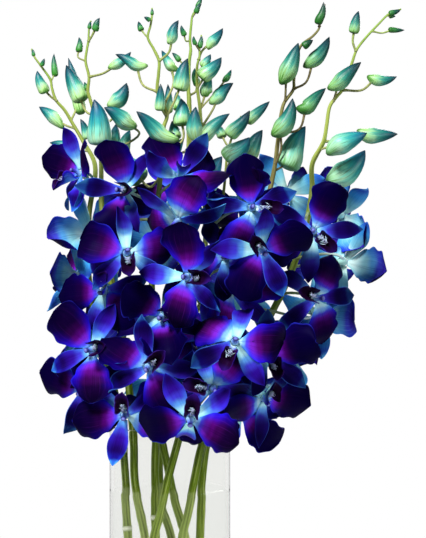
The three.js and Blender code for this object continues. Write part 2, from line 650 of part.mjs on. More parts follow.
function backBlooms() {
  const draw = seeded(SEED);
  const middle = spot(BACK.middle, 0);
  const kinds = Object.keys(KINDS);
  const found = [];
  for (let i = 0; i < BACK_COUNT; i++) {
    const polar = THREE.MathUtils.lerp(BACK.from, BACK.to, Math.sqrt(i / (BACK_COUNT - 1))) * DEGREE;
    const round = i * GOLDEN_ANGLE * DEGREE;
    const x = Math.sin(polar) * Math.cos(round);
    const y = Math.cos(polar);
    const z = Math.sin(polar) * Math.sin(round);
    const hub = middle.clone().add(new THREE.Vector3(BACK.across * x, BACK.deep * y, BACK.tall * z));
    const facing = new THREE.Vector3(x / BACK.across, y / BACK.deep, z / BACK.tall).normalize();
    const upper = 360 * draw();
    const wayUp = new THREE.Vector3(Math.cos(upper * DEGREE), 0, Math.sin(upper * DEGREE));
    found.push({ hub, facing, wayUp, kind: kinds[i % kinds.length] });
  }
  return found;
}

function frontBloom({ hub, depth, yaw, pitch, upper, kind }) {
  const facing = new THREE.Vector3(
    Math.sin(yaw * DEGREE) * Math.cos(pitch * DEGREE),
    -Math.cos(yaw * DEGREE) * Math.cos(pitch * DEGREE),
    Math.sin(pitch * DEGREE),
  );
  const wayUp = new THREE.Vector3(Math.cos(upper * DEGREE), 0, Math.sin(upper * DEGREE));
  return { hub: spot(hub, depth), facing, wayUp, kind };
}

// Where a bloom's own frame stands: its hub, turned to face its way with its upper sepal as near wayUp as
// it can be
function frameOf(hub, facing, wayUp) {
  const up = wayUp.clone().addScaledVector(facing, -wayUp.dot(facing)).normalize();
  const across = new THREE.Vector3().crossVectors(up, facing);
  return new THREE.Matrix4().makeBasis(across, up, facing).setPosition(hub);
}

// Small moves that get a bloom clear of what is there already, the smallest first: a slide along the line
// of sight in mm, a shift across it in mm, and turns in degrees about the world's X and Z and about the
// bloom's own facing
const SLIDES = [0, 4, -4, 8, -8, 12, -12, 17, -17, 23, -23, 30, -30];
const SHIFTS = [
  [0, 0], [4, 0], [-4, 0], [0, 4], [0, -4], [8, 0], [-8, 0], [0, 8], [0, -8],
];
const TURNS = [
  [0, 0, 0], [9, 0, 0], [-9, 0, 0], [0, 9, 0], [0, -9, 0], [0, 0, 14], [0, 0, -14], [18, 0, 0], [-18, 0, 0],
  [0, 18, 0], [0, -18, 0], [14, 14, 0], [-14, -14, 0], [14, -14, 0], [-14, 14, 0], [0, 0, 28], [0, 0, -28],
  [26, 0, 14], [-26, 0, 14], [0, 26, -14], [0, -26, -14],
];

// How much each kind of move disturbs the view, for its order
const EFFORT = { slide: 1 / 6, shift: 1 / 3, turn: 1 / 9 };

function movesInOrder() {
  const moves = [];
  for (const slide of SLIDES) {
    for (const shift of SHIFTS) {
      for (const turn of TURNS) {
        const across = Math.hypot(...shift) * EFFORT.shift;
        const effort = Math.abs(slide) * EFFORT.slide + across + Math.hypot(...turn) * EFFORT.turn;
        moves.push({ slide, shift, turn, effort });
      }
    }
  }
  return moves.sort((a, b) => a.effort - b.effort);
}

const EYE = new THREE.Vector3(VIEW.x, -VIEW.distance, VIEW.z);

function moved(wanted, { slide, shift, turn }) {
  const sight = new THREE.Vector3().subVectors(wanted.hub, EYE).normalize();
  const hub = wanted.hub.clone().addScaledVector(sight, slide).add(new THREE.Vector3(shift[0], 0, shift[1]));
  const facing = wanted.facing.clone();
  const wayUp = wanted.wayUp.clone();
  for (const way of [facing, wayUp]) {
    way.applyAxisAngle(new THREE.Vector3(1, 0, 0), turn[0] * DEGREE);
    way.applyAxisAngle(UP, turn[1] * DEGREE);
  }
  wayUp.applyAxisAngle(facing, turn[2] * DEGREE);
  return frameOf(hub, facing, wayUp);
}

// A bloom's stalk ends at the back of its hub, on the upper side of the chin, with the gap between them
const SEAT = new THREE.Vector3(0, 0.45, -4.3);
const SEAT_WAY = new THREE.Vector3(0, 0.703, -0.711);
const HANG = 16;
const LONGEST_STALK = 95;
const ROOTS_TRIED = 36;

function stalkPoints(root, frame) {
  const seat = SEAT.clone().applyMatrix4(frame);
  const way = SEAT_WAY.clone().transformDirection(frame);
  const reach = root.distanceTo(seat);
  const leave = new THREE.Vector3().subVectors(seat, root).addScaledVector(UP, reach * 0.35).normalize();
  const curve = new THREE.CubicBezierCurve3(
    root,
    root.clone().addScaledVector(leave, reach * 0.33),
    seat.clone().addScaledVector(way, reach * 0.3),
    seat,
  );
  return curve.getPoints(PEDICEL_STEPS);
}

function stalk(points, grow = 0) {
  return bar(points, points.map(() => PEDICEL_RADIUS + grow), STALK_SIDES);
}

// Vase: a straight cylinder with a thick base and an eased foot
function makeVase() {
  const outer = VASE_DIAMETER / 2;
  const inner = outer - VASE_WALL;
  const profile = [
    [0, 0],
    [outer - 1.5, 0],
    [outer, 1.5],
    [outer, VASE_HEIGHT],
    [inner, VASE_HEIGHT],
    [inner, VASE_BASE],
    [0, VASE_BASE],
  ];
  const points = profile.map(([x, y]) => new THREE.Vector2(x, y));
  return solidOf(new THREE.LatheGeometry(points, VASE_SIDES).rotateX(Math.PI / 2));
}

// Water, with a plain hole for each stem
function makeWater(sprays) {
  const radius = VASE_DIAMETER / 2 - VASE_WALL - GAP;
  const depth = WATER_LEVEL - VASE_BASE - GAP;
  const cylinder = new THREE.CylinderGeometry(radius, radius, depth, VASE_SIDES).rotateX(Math.PI / 2);
  cylinder.translate(0, 0, VASE_BASE + GAP + depth / 2);
  let water = solidOf(cylinder);
  const wide = GAP / Math.cos(Math.PI / STEM_SIDES);
  for (const { points, radii } of sprays) {
    const below = points[0].clone().lerp(points[1], -0.1);
    const hole = bar([below, ...points.slice(1)], radii.map((radius) => radius + wide), STEM_SIDES);
    water = water.subtract(hole);
  }
  return water;
}

// The bouquet: sprays first, then each bloom in turn, moved until it and its stalk are clear of the rest
const vase = makeVase();
const sprays = Object.entries(SPRAYS).map(([name, spray]) => makeSpray(name, spray));
const water = makeWater(sprays);
const standing = [{ solid: vase }, { solid: water }];
for (const spray of sprays) {
  spray.roots = placesAlong(spray.points).filter((place) => place.z > VASE_HEIGHT + 6);
  spray.parts.forEach((solid) => standing.push({ solid, spray }));
}

function clearOf(solid, others) {
  return !others.some((other) => solidsMeet(solid, other.solid));
}

function findStalk(frame, body) {
  const seat = SEAT.clone().applyMatrix4(frame);
  const wanted = seat.clone().addScaledVector(UP, -HANG);
  const roots = sprays.flatMap((spray) =>
    spray.roots.map((root) => ({ spray, root, far: root.distanceTo(wanted) })),
  );
  roots.sort((a, b) => a.far - b.far);
  for (const { spray, root, far } of roots.slice(0, ROOTS_TRIED)) {
    if (far > LONGEST_STALK) {
      break;
    }
    const points = stalkPoints(root, frame);
    const solid = stalk(points);
    const others = standing.filter((other) => other.spray !== spray);
    if (!solidsMeet(solid, body) && clearOf(stalk(points, GAP), others)) {
      return { solid, spray };
    }
  }
  return null;
}

const MOVES = movesInOrder();
const shapes = Object.fromEntries(Object.keys(KINDS).map((kind) => [kind, [bloom(kind), bloom(kind, GAP)]]));
const blooms = [];
for (const [place, wanted] of [...FRONT.map(frontBloom), ...backBlooms()].entries()) {
  const [plain, grown] = shapes[wanted.kind];
  for (const move of MOVES) {
    const frame = moved(wanted, move);
    if (!clearOf(grown.transform(frame.elements), standing)) {
      continue;
    }
    const body = plain.transform(frame.elements);
    const found = findStalk(frame, body);
    if (!found) {
      continue;
    }
    blooms.push({ frame, kind: wanted.kind, place });
    standing.push({ solid: body }, { solid: found.solid, spray: found.spray });
    found.spray.parts.push(found.solid);
    break;
  }
}

// The model
const GLASS = new THREE.MeshStandardMaterial({ color: 0xe6ecee, roughness: 0.05, metalness: 0 });
const WATER = new THREE.MeshStandardMaterial({ color: 0xdfe8ea, roughness: 0.05, metalness: 0 });
const GREEN = new THREE.MeshStandardMaterial({ color: 0x6f9a3c, roughness: 0.6, metalness: 0 });
const VIOLET = new THREE.MeshStandardMaterial({ color: 0x3a22b8, roughness: 0.6, metalness: 0 });

const group = new THREE.Group();

function show(name, geometry, material) {
  const mesh = new THREE.Mesh(geometry, material);
  mesh.name = name;
  group.add(mesh);
  return mesh;
}

show("vase", geometryOf(vase), GLASS);
show("water", geometryOf(water), WATER);
for (const { name, parts } of sprays) {
  show(name, geometryOf(parts.reduce((whole, part) => whole.add(part))), GREEN);
}
blooms.forEach(({ frame, kind, place }) => {
  const name = `bloom_${String(place + 1).padStart(2, "0")}`;
  show(name, geometryOf(shapes[kind][0]), VIOLET).applyMatrix4(frame);
});

export default group;
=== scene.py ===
"""Blue dendrobium orchids in a straight glass vase: the looks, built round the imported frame.

Lengths in the tables are millimetres, and the scene itself is in metres. The bouquet's front faces -Y.
"""

import math

import bpy
import numpy as np
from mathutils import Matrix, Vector
from numpy.linalg import norm


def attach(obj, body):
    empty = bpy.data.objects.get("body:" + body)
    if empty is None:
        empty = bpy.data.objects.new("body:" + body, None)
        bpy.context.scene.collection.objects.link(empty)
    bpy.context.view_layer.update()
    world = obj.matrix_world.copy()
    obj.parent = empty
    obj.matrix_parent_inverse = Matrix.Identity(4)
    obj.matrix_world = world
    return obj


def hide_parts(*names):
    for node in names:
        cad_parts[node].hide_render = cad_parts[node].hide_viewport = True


MM = 0.001
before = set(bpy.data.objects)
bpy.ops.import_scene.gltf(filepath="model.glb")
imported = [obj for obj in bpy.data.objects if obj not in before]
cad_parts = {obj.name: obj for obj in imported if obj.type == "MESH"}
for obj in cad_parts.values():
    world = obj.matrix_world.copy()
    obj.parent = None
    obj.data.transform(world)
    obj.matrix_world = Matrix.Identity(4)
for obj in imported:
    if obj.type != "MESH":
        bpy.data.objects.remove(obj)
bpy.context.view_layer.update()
scene = bpy.context.scene

# The vase and what stands in it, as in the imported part
VASE_BASE = 9.0
VASE_WALL = 3.0
VASE_RADIUS = 47.5
VASE_HEIGHT = 200.0
WATER_LEVEL = 150.0
STEM_FOOT = VASE_BASE + 2
PART_HEIGHT = 540.0

# Camera: level, from the front. A spot of its view is (x, y) in pixels at a depth behind the vase's axis.
VIEW = {"scale": 0.79, "distance": 1100.0, "middle": (213.0, 269.0), "x": 34.0, "z": 323.0, "height": 538}
SENSOR = 36.0
UP = np.array([0, 0, 1.0])
FORWARD = np.array([0, 0, 1.0])


def add_object(name, data):
    made = bpy.data.objects.new(name, data)
    scene.collection.objects.link(made)
    return made


camera = add_object("camera", bpy.data.cameras.new("camera"))
camera.data.sensor_width = SENSOR
camera.data.lens = SENSOR * VIEW["distance"] / (VIEW["scale"] * VIEW["height"])
camera.location = (VIEW["x"] * MM, -VIEW["distance"] * MM, VIEW["z"] * MM)
camera.rotation_euler = (math.pi / 2, 0, 0)
scene.camera = camera


def pixel_at(depth):
    """How many millimetres a pixel of the view is at a depth."""
    return VIEW["scale"] * (VIEW["distance"] + depth) / VIEW["distance"]


def spot(place, depth):
    x = VIEW["x"] + (place[0] - VIEW["middle"][0]) * pixel_at(depth)
    z = VIEW["z"] + (VIEW["middle"][1] - place[1]) * pixel_at(depth)
    return np.array([x, depth, z])


def unit(v):
    return v / np.maximum(norm(v, axis=-1, keepdims=True), 1e-12)


def smooth(low, high, x):
    t = np.clip((x - low) / (high - low), 0, 1)
    return t * t * (3 - 2 * t)


def hermite(xs, ys, x):
    """A smooth curve through (xs, ys) at x; ys may be numbers or points."""
    xs, ys, x = np.asarray(xs, float), np.asarray(ys, float), np.asarray(x, float)
    slopes = np.gradient(ys, xs, axis=0)
    i = np.clip(np.searchsorted(xs, x, side="right") - 1, 0, len(xs) - 2)
    width = xs[i + 1] - xs[i]
    t = (x - xs[i]) / width
    if ys.ndim > 1:
        t, width = t[..., None], width[..., None]
    a, b = (1 + 2 * t) * (1 - t) ** 2, t * (1 - t) ** 2
    c, d = t * t * (3 - 2 * t), t * t * (t - 1)
    return a * ys[i] + b * width * slopes[i] + c * ys[i + 1] + d * width * slopes[i + 1]


def bezier(points, t):
    a, b, c, d = points
    t = np.asarray(t, float)[..., None]
    return (1 - t) ** 3 * a + 3 * (1 - t) ** 2 * t * b + 3 * (1 - t) * t * t * c + t**3 * d


def running(lengths):
    return np.concatenate([[0], np.cumsum(lengths)])


def steps_of(points):
    """The distances from each point of a line to the next."""
    return norm(np.diff(points, axis=0), axis=1)


def smooth_path(points, steps):
    """A smooth path through points, a few steps to each stretch, and the shares of its length at its points and at
    the points that it was given."""
    points = np.asarray(points, float)
    knots = running(np.sqrt(steps_of(points)))
    where = [np.linspace(a, b, steps, endpoint=False) for a, b in zip(knots, knots[1:])]
    where = np.concatenate(where + [knots[-1:]])
    return hermite(knots, points, where), where / knots[-1], knots / knots[-1]


def turned(vectors, axes, angle):
    """Vectors turned about unit axes by an angle each."""
    c, s = np.cos(angle)[..., None], np.sin(angle)[..., None]
    return vectors * c + np.cross(axes, vectors) * s + axes * (vectors * axes).sum(-1, keepdims=True) * (1 - c)


def nearest(points, cloud):
    """Each point's distance to the nearest of a cloud."""
    return np.sqrt(((points[:, None] - cloud[None]) ** 2).sum(-1).min(1))


def surface_normals(points):
    return unit(np.cross(np.gradient(points, axis=0), np.gradient(points, axis=1)))


def rings_about(centres, ways, others, angle, radii):
    """A ring of points about each centre, at angles from its way to the other; radii is in mm at each."""
    ring = ways[:, None] * np.cos(angle)[None, :, None] + others[:, None] * np.sin(angle)[None, :, None]
    return centres[:, None] + ring * radii[..., None]


def circle(sides):
    return 2 * np.pi * np.arange(sides) / sides


def grid_faces(rows, columns, closed=False):
    """Quads between rows of points; closed joins each row's end to its start."""
    i, j = np.meshgrid(np.arange(rows - 1), np.arange(columns if closed else columns - 1), indexing="ij")
    k = (j + 1) % columns
    corners = [i * columns + j, (i + 1) * columns + j, (i + 1) * columns + k, i * columns + k]
    return np.stack(corners, -1).reshape(-1, 4)


class Builder:
    """A mesh in the making: parts with their materials, and a map and a tint of two numbers each at every point."""

    def __init__(self, mood=0.5):
        self.points, self.faces, self.materials, self.maps, self.tints, self.count = [], [], [], [], [], 0
        self.mood = mood

    def add(self, points, groups, uv, tint):
        """groups are (faces, material) pairs, with faces numbered from this part's first point."""
        self.points.append(points)
        self.maps.append(uv)
        self.tints.append(np.broadcast_to(tint, (len(points), 2)))
        for faces, material in groups:
            self.faces += (np.asarray(faces, int) + self.count).tolist()
            self.materials += [material] * len(faces)
        self.count += len(points)

    def add_rings(self, rings, shares, ends, material, tint=(0.5, 0.5)):
        """A closed skin over rings of points, with a point at each end; its map is (round, along)."""
        count, sides = rings.shape[:2]
        around = np.abs(np.arange(sides) / sides * 2 - 1)
        uv = np.stack(np.meshgrid(shares, around, indexing="ij")[::-1], -1).reshape(-1, 2)
        one, base = np.arange(sides), (count - 1) * sides
        two = (one + 1) % sides
        first = np.stack([np.full(sides, count * sides), two, one], -1)
        last = np.stack([np.full(sides, count * sides + 1), base + one, base + two], -1)
        groups = [(grid_faces(count, sides, closed=True)[:, ::-1], material), (first, material), (last, material)]
        skin = np.concatenate([rings.reshape(-1, 3), ends])
        self.add(skin, groups, np.concatenate([uv, [[0.5, 0], [0.5, 1]]]), tint)

    def add_tube(self, points, radii, sides, material, tint=(0.5, 0.5), flat=1.0):
        """A round bar through points with closed ends."""
        points = np.asarray(points, float)
        along = unit(np.gradient(points, axis=0))
        way = np.array([1.0, 0, 0]) if abs(along[0][0]) < 0.8 else np.array([0, 1.0, 0])
        ways = []
        for step in along:
            way = unit(way - step * (way @ step))
            ways.append(way)
        ways = np.array(ways)
        rings = rings_about(points, ways, flat * np.cross(along, ways), circle(sides), np.asarray(radii)[:, None])
        far = running(steps_of(points))
        self.add_rings(rings, far / far[-1], points[[0, -1]], material, tint)

    def add_shell(self, points, thickness, uv, skin, tint):
        """A closed sheet: points is a grid [along, across], thickness is in mm at each."""
        rows, columns = points.shape[:2]
        half = surface_normals(points) * np.asarray(thickness)[..., None] / 2
        quads = grid_faces(rows, columns)
        n, end = rows * columns, (rows - 1) * columns
        j, i = np.arange(columns - 1), np.arange(rows - 1)
        starts = np.concatenate([i * columns, end + j, (i + 1) * columns + columns - 1, j + 1])
        stops = np.concatenate([(i + 1) * columns, end + j + 1, i * columns + columns - 1, j])
        rims = np.stack([stops, starts, starts + n, stops + n], -1)
        sheets = np.concatenate([(points + half).reshape(-1, 3), (points - half).reshape(-1, 3)])
        groups = [(quads, skin), (quads[:, ::-1] + n, skin + "_back"), (rims, skin + "_rim")]
        self.add(sheets, groups, np.tile(uv.reshape(-1, 2), (2, 1)), tint)

    def place(self, basis, origin):
        """Moves what is there so far: points in the basis's own frame go to the scene's."""
        self.points = [p @ basis.T + origin for p in self.points]

    def object(self, name):
        if not np.isfinite(np.concatenate(self.points)).all():
            raise RuntimeError(f"{name} has a point that isn't a number")
        used = sorted(set(self.materials))
        mesh = bpy.data.meshes.new(name)
        mesh.from_pydata((np.concatenate(self.points) * MM).tolist(), [], self.faces)
        corners = np.zeros(len(mesh.loops), int)
        mesh.loops.foreach_get("vertex_index", corners)
        for label, rows in (("blade", self.maps), ("tint", self.tints)):
            layer = mesh.uv_layers.new(name=label)
            layer.data.foreach_set("uv", np.concatenate(rows)[corners].astype(np.float32).ravel())
        for key in used:
            mesh.materials.append(MATERIALS[key])
        mesh.polygons.foreach_set("material_index", [used.index(key) for key in self.materials])
        mesh.polygons.foreach_set("use_smooth", [not key.endswith("rim") for key in self.materials])
        mesh.update()
        return add_object(name, mesh)


# Materials
def rgb(code):
    """A colour as the eye reads it, from #rrggbb to the scene's linear numbers."""
    parts = [int(code[i : i + 2], 16) / 255 for i in (1, 3, 5)]
    return tuple(c / 12.92 if c <= 0.04045 else ((c + 0.055) / 1.055) ** 2.4 for c in parts) + (1.0,)


class Nodes:
    """The nodes of a material or of the world, made by short calls that return sockets."""

    def __init__(self, owner):
        owner.use_nodes = True
        self.tree = owner.node_tree

    def put(self, socket, value):
        if isinstance(value, bpy.types.NodeSocket):
            self.tree.links.new(value, socket)
        else:
            socket.default_value = rgb(value) if isinstance(value, str) else value

    def node(self, kind, *values, **settings):
        """A node with its settings and the values of its first inputs."""
        made = self.tree.nodes.new("ShaderNode" + kind)
        for key, value in settings.items():
            setattr(made, key, value)
        for socket, value in zip(made.inputs, values):
            self.put(socket, value)
        return made

    def sums(self, operation, *values):
        return self.node("Math", *values, operation=operation).outputs[0]

    def range(self, value, low, high, out_low=0, out_high=1, kind="SMOOTHSTEP"):
        return self.node("MapRange", value, low, high, out_low, out_high, interpolation_type=kind).outputs[0]


class Shader(Nodes):
    """A material, with its values for the surface's own sockets."""

    def __init__(self, name, **settings):
        self.material = bpy.data.materials.new(name)
        super().__init__(self.material)
        self.surface = self.tree.nodes["Principled BSDF"]
        for key, value in settings.items():
            self.surface.inputs[key.replace("_", " ")].default_value = value

    def shifted(self, value, noise, share):
        """A value moved up and down by a noise about 0.5."""
        return self.sums("MULTIPLY_ADD", self.sums("SUBTRACT", noise, 0.5), share, value)

    def map(self, label):
        made = self.node("SeparateXYZ", self.node("UVMap", uv_map=label).outputs[0])
        return made.outputs[0], made.outputs[1]

    def ramp(self, value, stops):
        """Colours along a value, from stops such as "0 #bce8f2, 0.5 #78b0f0"."""
        made = self.node("ValToRGB", value)
        made.color_ramp.interpolation = "EASE"
        stops = [stop.split() for stop in stops.split(",")]
        while len(made.color_ramp.elements) < len(stops):
            made.color_ramp.elements.new(0.5)
        for element, (place, code) in zip(made.color_ramp.elements, stops):
            element.position = float(place)
            element.color = rgb(code)
        return made.outputs[0]

    def mix(self, share, one, two, blend="MIX"):
        made = self.node("Mix", share, data_type="RGBA", blend_type=blend)
        self.put(made.inputs[6], one)
        self.put(made.inputs[7], two)
        return made.outputs[2]

    def noise(self, scale, detail=3, vector=None):
        vector = vector or self.node("TexCoord").outputs["Object"]
        return self.node("TexNoise", vector, 0, scale, detail).outputs[0]

    def streaks(self, across, along):
        """Fine streaks along a piece: noise stretched over its map."""
        made = self.node("Mapping", self.node("UVMap", uv_map="blade").outputs[0])
        made.inputs["Scale"].default_value = (across, along, 1)
        return self.noise(1, 4, made.outputs[0])

    def done(self, colour, relief, strength):
        """The material, with its colour and a relief."""
        bump = self.node("Bump")
        bump.inputs["Strength"].default_value = strength
        bump.inputs["Distance"].default_value = RELIEF_DEPTH
        self.put(bump.inputs["Height"], relief)
        self.put(self.surface.inputs["Normal"], bump.outputs[0])
        self.put(self.surface.inputs["Base Color"], colour)
        return self.material


RELIEF_DEPTH = 0.0004

# Scales of the noise on the pieces, and of streaks across and along a piece's map
CLOUDS = {"blade": 70, "rim": 45, "plain": 160, "stem": 55}
STREAKS = {"vein": (40, 1.1), "plain": (24, 1), "bud": (30, 1.3), "broad": (7, 0.8), "stem": (7, 11)}

# Between which heights a stem's browner tone comes in, and its wet part ends
TONED = (0.4, 0.6)
WET = ((WATER_LEVEL + 1) / PART_HEIGHT, (WATER_LEVEL - 2) / PART_HEIGHT)


def blade_material(name, middle, margin, rim, rim_share, vein, darker, painted_shade=0.7, stray=0.22):
    """A petal or sepal: colours from root to tip along its middle and its margins, veins, a rim, and a painted shade
    that darkens some blooms and blades, for shadow deep in the bouquet.
    """
    made = Shader(name, Roughness=0.42, Specular_IOR_Level=0.02, Specular_Tint=(0.35, 0.3, 1, 1))
    u, t = made.map("blade")
    mood, organ = made.map("tint")
    side = made.sums("ABSOLUTE", made.sums("MULTIPLY_ADD", u, 2, -1))
    cloud = made.noise(CLOUDS["blade"])
    along = made.shifted(made.shifted(t, cloud, 0.2), organ, stray)
    edge = made.range(made.shifted(side, cloud, 0.4), 0.3, 1)
    colour = made.mix(edge, made.ramp(along, middle), made.ramp(along, margin))
    streak = made.streaks(*STREAKS["vein"])
    vein_share, vein_colour = vein
    colour = made.mix(made.range(streak, 0.52, 0.75, 0, vein_share), colour, vein_colour)
    colour = made.mix(made.range(streak, 0.48, 0.3, 0, 0.3), colour, darker)
    # Painted shade: blooms and blades darkened by random amounts from near the root out, standing in for shadow deep in
    # the bouquet
    shade_on_bloom, shade_on_blade = (made.range(value, low, 1, 0, painted_shade) for value, low in ((mood, 0.25), (organ, 0.6)))
    depth = made.sums("MAXIMUM", shade_on_bloom, shade_on_blade)
    colour = made.mix(made.sums("MULTIPLY", depth, made.range(t, 0.1, 0.45)), colour, darker)
    outer = made.sums("MAXIMUM", side, made.range(t, 0.93, 1))
    patches = made.range(made.noise(CLOUDS["rim"]), 0.35, 0.65)
    share = made.sums("MULTIPLY", made.range(outer, 0.9, 1, 0, rim_share), patches)
    share = made.sums("MULTIPLY", share, made.range(organ, 0.1, 0.9, 0.15, 1))
    return made.done(made.mix(share, colour, rim), streak, 0.3)


def plain_material(name, stops, mottle, roughness=0.5, streaks=STREAKS["plain"]):
    """Colours along the map, with fine streaks and a slight mottle."""
    made = Shader(name, Roughness=roughness, Specular_IOR_Level=0.3)
    t = made.map("blade")[1]
    streak = made.streaks(*streaks)
    colour = made.ramp(made.shifted(t, made.noise(CLOUDS["plain"]), mottle), stops)
    colour = made.mix(made.range(streak, 0.35, 0.65, 0, 0.3), colour, made.mix(0.5, colour, "#20301a", "MULTIPLY"))
    return made.done(colour, streak, 0.25)


def bud_material(name, stops):
    """Green at the root and teal at the tip, feathered into each other by lengthwise streaks, with darker streaks and a
    painted shade at the root, where the stalk enters.
    """
    made = Shader(name, Roughness=0.38, Specular_IOR_Level=0.35)
    t = made.map("blade")[1]
    mood, richness = made.map("tint")
    streak = made.sums("SUBTRACT", made.streaks(*STREAKS["bud"]), 0.5)
    along = made.sums("MULTIPLY_ADD", streak, 0.7, made.shifted(t, made.streaks(*STREAKS["broad"]), 0.6))
    colour = made.ramp(made.shifted(along, mood, 0.2), stops)
    # Painted shade: a darker green ring at the root, where the stalk enters
    colour = made.mix(made.range(t, 0, 0.09, 0.75, 0), colour, "#3c6a1c")
    shade = made.sums("MULTIPLY", made.range(streak, -0.02, -0.16, 0, 0.8), made.range(t, 0.08, 0.35))
    colour = made.mix(shade, colour, "#0a3c34")
    colour = made.mix(made.sums("MULTIPLY", richness, 0.85), colour, made.mix(1, colour, "#5c9a78", "MULTIPLY"))
    return made.done(colour, streak, 0.5)


def stem_material(name, stops, pale, brown):
    """Green from the foot up, with lengthwise streaks, the pale ones partly painted highlights, a browner tone on some
    sprays, and paler in the water.
    """
    made = Shader(name, Roughness=0.45, Specular_IOR_Level=0.1)
    mood, tone = made.map("tint")
    streak = made.streaks(*STREAKS["stem"])
    place = made.node("SeparateXYZ", made.node("NewGeometry").outputs["Position"])
    height = made.sums("MULTIPLY", place.outputs[2], 1 / (PART_HEIGHT * MM))
    colour = made.ramp(made.shifted(height, made.noise(CLOUDS["stem"]), 0.16), stops)
    colour = made.mix(made.sums("MULTIPLY", tone, made.range(height, *TONED, 0, 0.9)), colour, brown)
    share = made.sums("MULTIPLY", made.range(height, *WET), made.range(mood, 0, 1, 0.08, 0.5))
    colour = made.mix(share, colour, pale)
    # Pale lengthwise streaks: partly the stem's own streaks, partly painted highlights
    colour = made.mix(made.range(streak, 0.5, 0.68, 0, 0.55), colour, made.mix(0.6, colour, "#dce490"))
    colour = made.mix(made.range(streak, 0.5, 0.32, 0, 0.75), colour, made.mix(0.85, colour, "#445410", "MULTIPLY"))
    return made.done(colour, streak, 0.3)


def clear_material(name, colour, index):
    made = Shader(name, Roughness=0, IOR=index, Transmission_Weight=1, Specular_IOR_Level=0.12, Base_Color=colour)
    return made.material


PETAL_FRONT = "0 #bce8f2, 0.08 #78b0f0, 0.16 #5040e8, 0.26 #7420c0, 0.38 #580878, 0.52 #320446, 0.7 #14022c, 1 #05011a"
PETAL_MARGIN = "0 #a8e4f4, 0.1 #4c90f0, 0.22 #302ce8, 0.42 #2010cc, 0.62 #14048c, 0.8 #0a0244, 1 #05011c"
PETAL_BACK = "0 #dcfcf8, 0.26 #a4ecf4, 0.46 #60b4f0, 0.64 #4c50e0, 0.82 #3416a8, 1 #160450"
PETAL_BACK_MARGIN = "0 #a8f0f8, 0.3 #48a4f0, 0.6 #2238c4, 1 #150c80"
SEPAL_FRONT = "0 #b8f0f4, 0.14 #60a4ec, 0.28 #4038cc, 0.48 #2c0c8c, 0.72 #160450, 0.9 #160c7c, 1 #2c64d0"
SEPAL_MARGIN = "0 #98e4f0, 0.2 #4878e8, 0.45 #3424c4, 0.75 #180c7c, 0.9 #1c2cb4, 1 #48a4f0"
SEPAL_BACK = "0 #d0f4ea, 0.3 #8ce0ee, 0.6 #3c9ce4, 0.85 #2450bc, 1 #58b0f0"
LIP_FRONT = "0 #d0eef0, 0.12 #6c84dc, 0.24 #2c0a50, 0.45 #150320, 0.75 #1a0428, 1 #2c1070"

COLUMN_BLUE = "0 #a0d4e8, 0.35 #6c90dc, 0.65 #4440b8, 0.88 #2c1878, 1 #7078d0"
CHIN_GREEN = "0 #bfe8ea, 0.5 #a9dfd6, 1 #8fcfae"
HAIR_BLUE = "0 #7cb0dc, 0.5 #c8e8f0, 1 #c4c4f0"
PEDICEL = "0 #80904c, 0.4 #a0b07c, 0.75 #b0c8c0, 1 #c4d8ec"
SHEATH = "0 #a8b488, 0.5 #e4e6d4, 1 #a8b488"

BUD = "0 #74b44c, 0.14 #ccf8a4, 0.32 #b8f0be, 0.47 #50b8a8, 0.62 #188484, 0.82 #085468, 1 #062c3c"
OLD_BUD = "0 #84c474, 0.2 #c0f4c8, 0.42 #88e4cc, 0.6 #34acac, 0.8 #127894, 1 #0c3858"
YOUNG_BUD = "0 #3c8a2c, 0.35 #44984c, 0.6 #146650, 0.85 #0a4048, 1 #061e30"
# A stem's greens by height; the darker stops at 0.29 and 0.38, between the water and the blooms, are a painted shade
# under the bouquet
STEM_WITH_PAINTED_SHADE = "0 #70841c, 0.25 #6c8416, 0.29 #5e7804, 0.38 #506a02, 0.46 #648210, 0.6 #84983a, 0.78 #9cac50, 1 #84ac48"
STALK = "0 #6c7c34, 0.5 #9aa064, 0.75 #acb070, 1 #98b460"

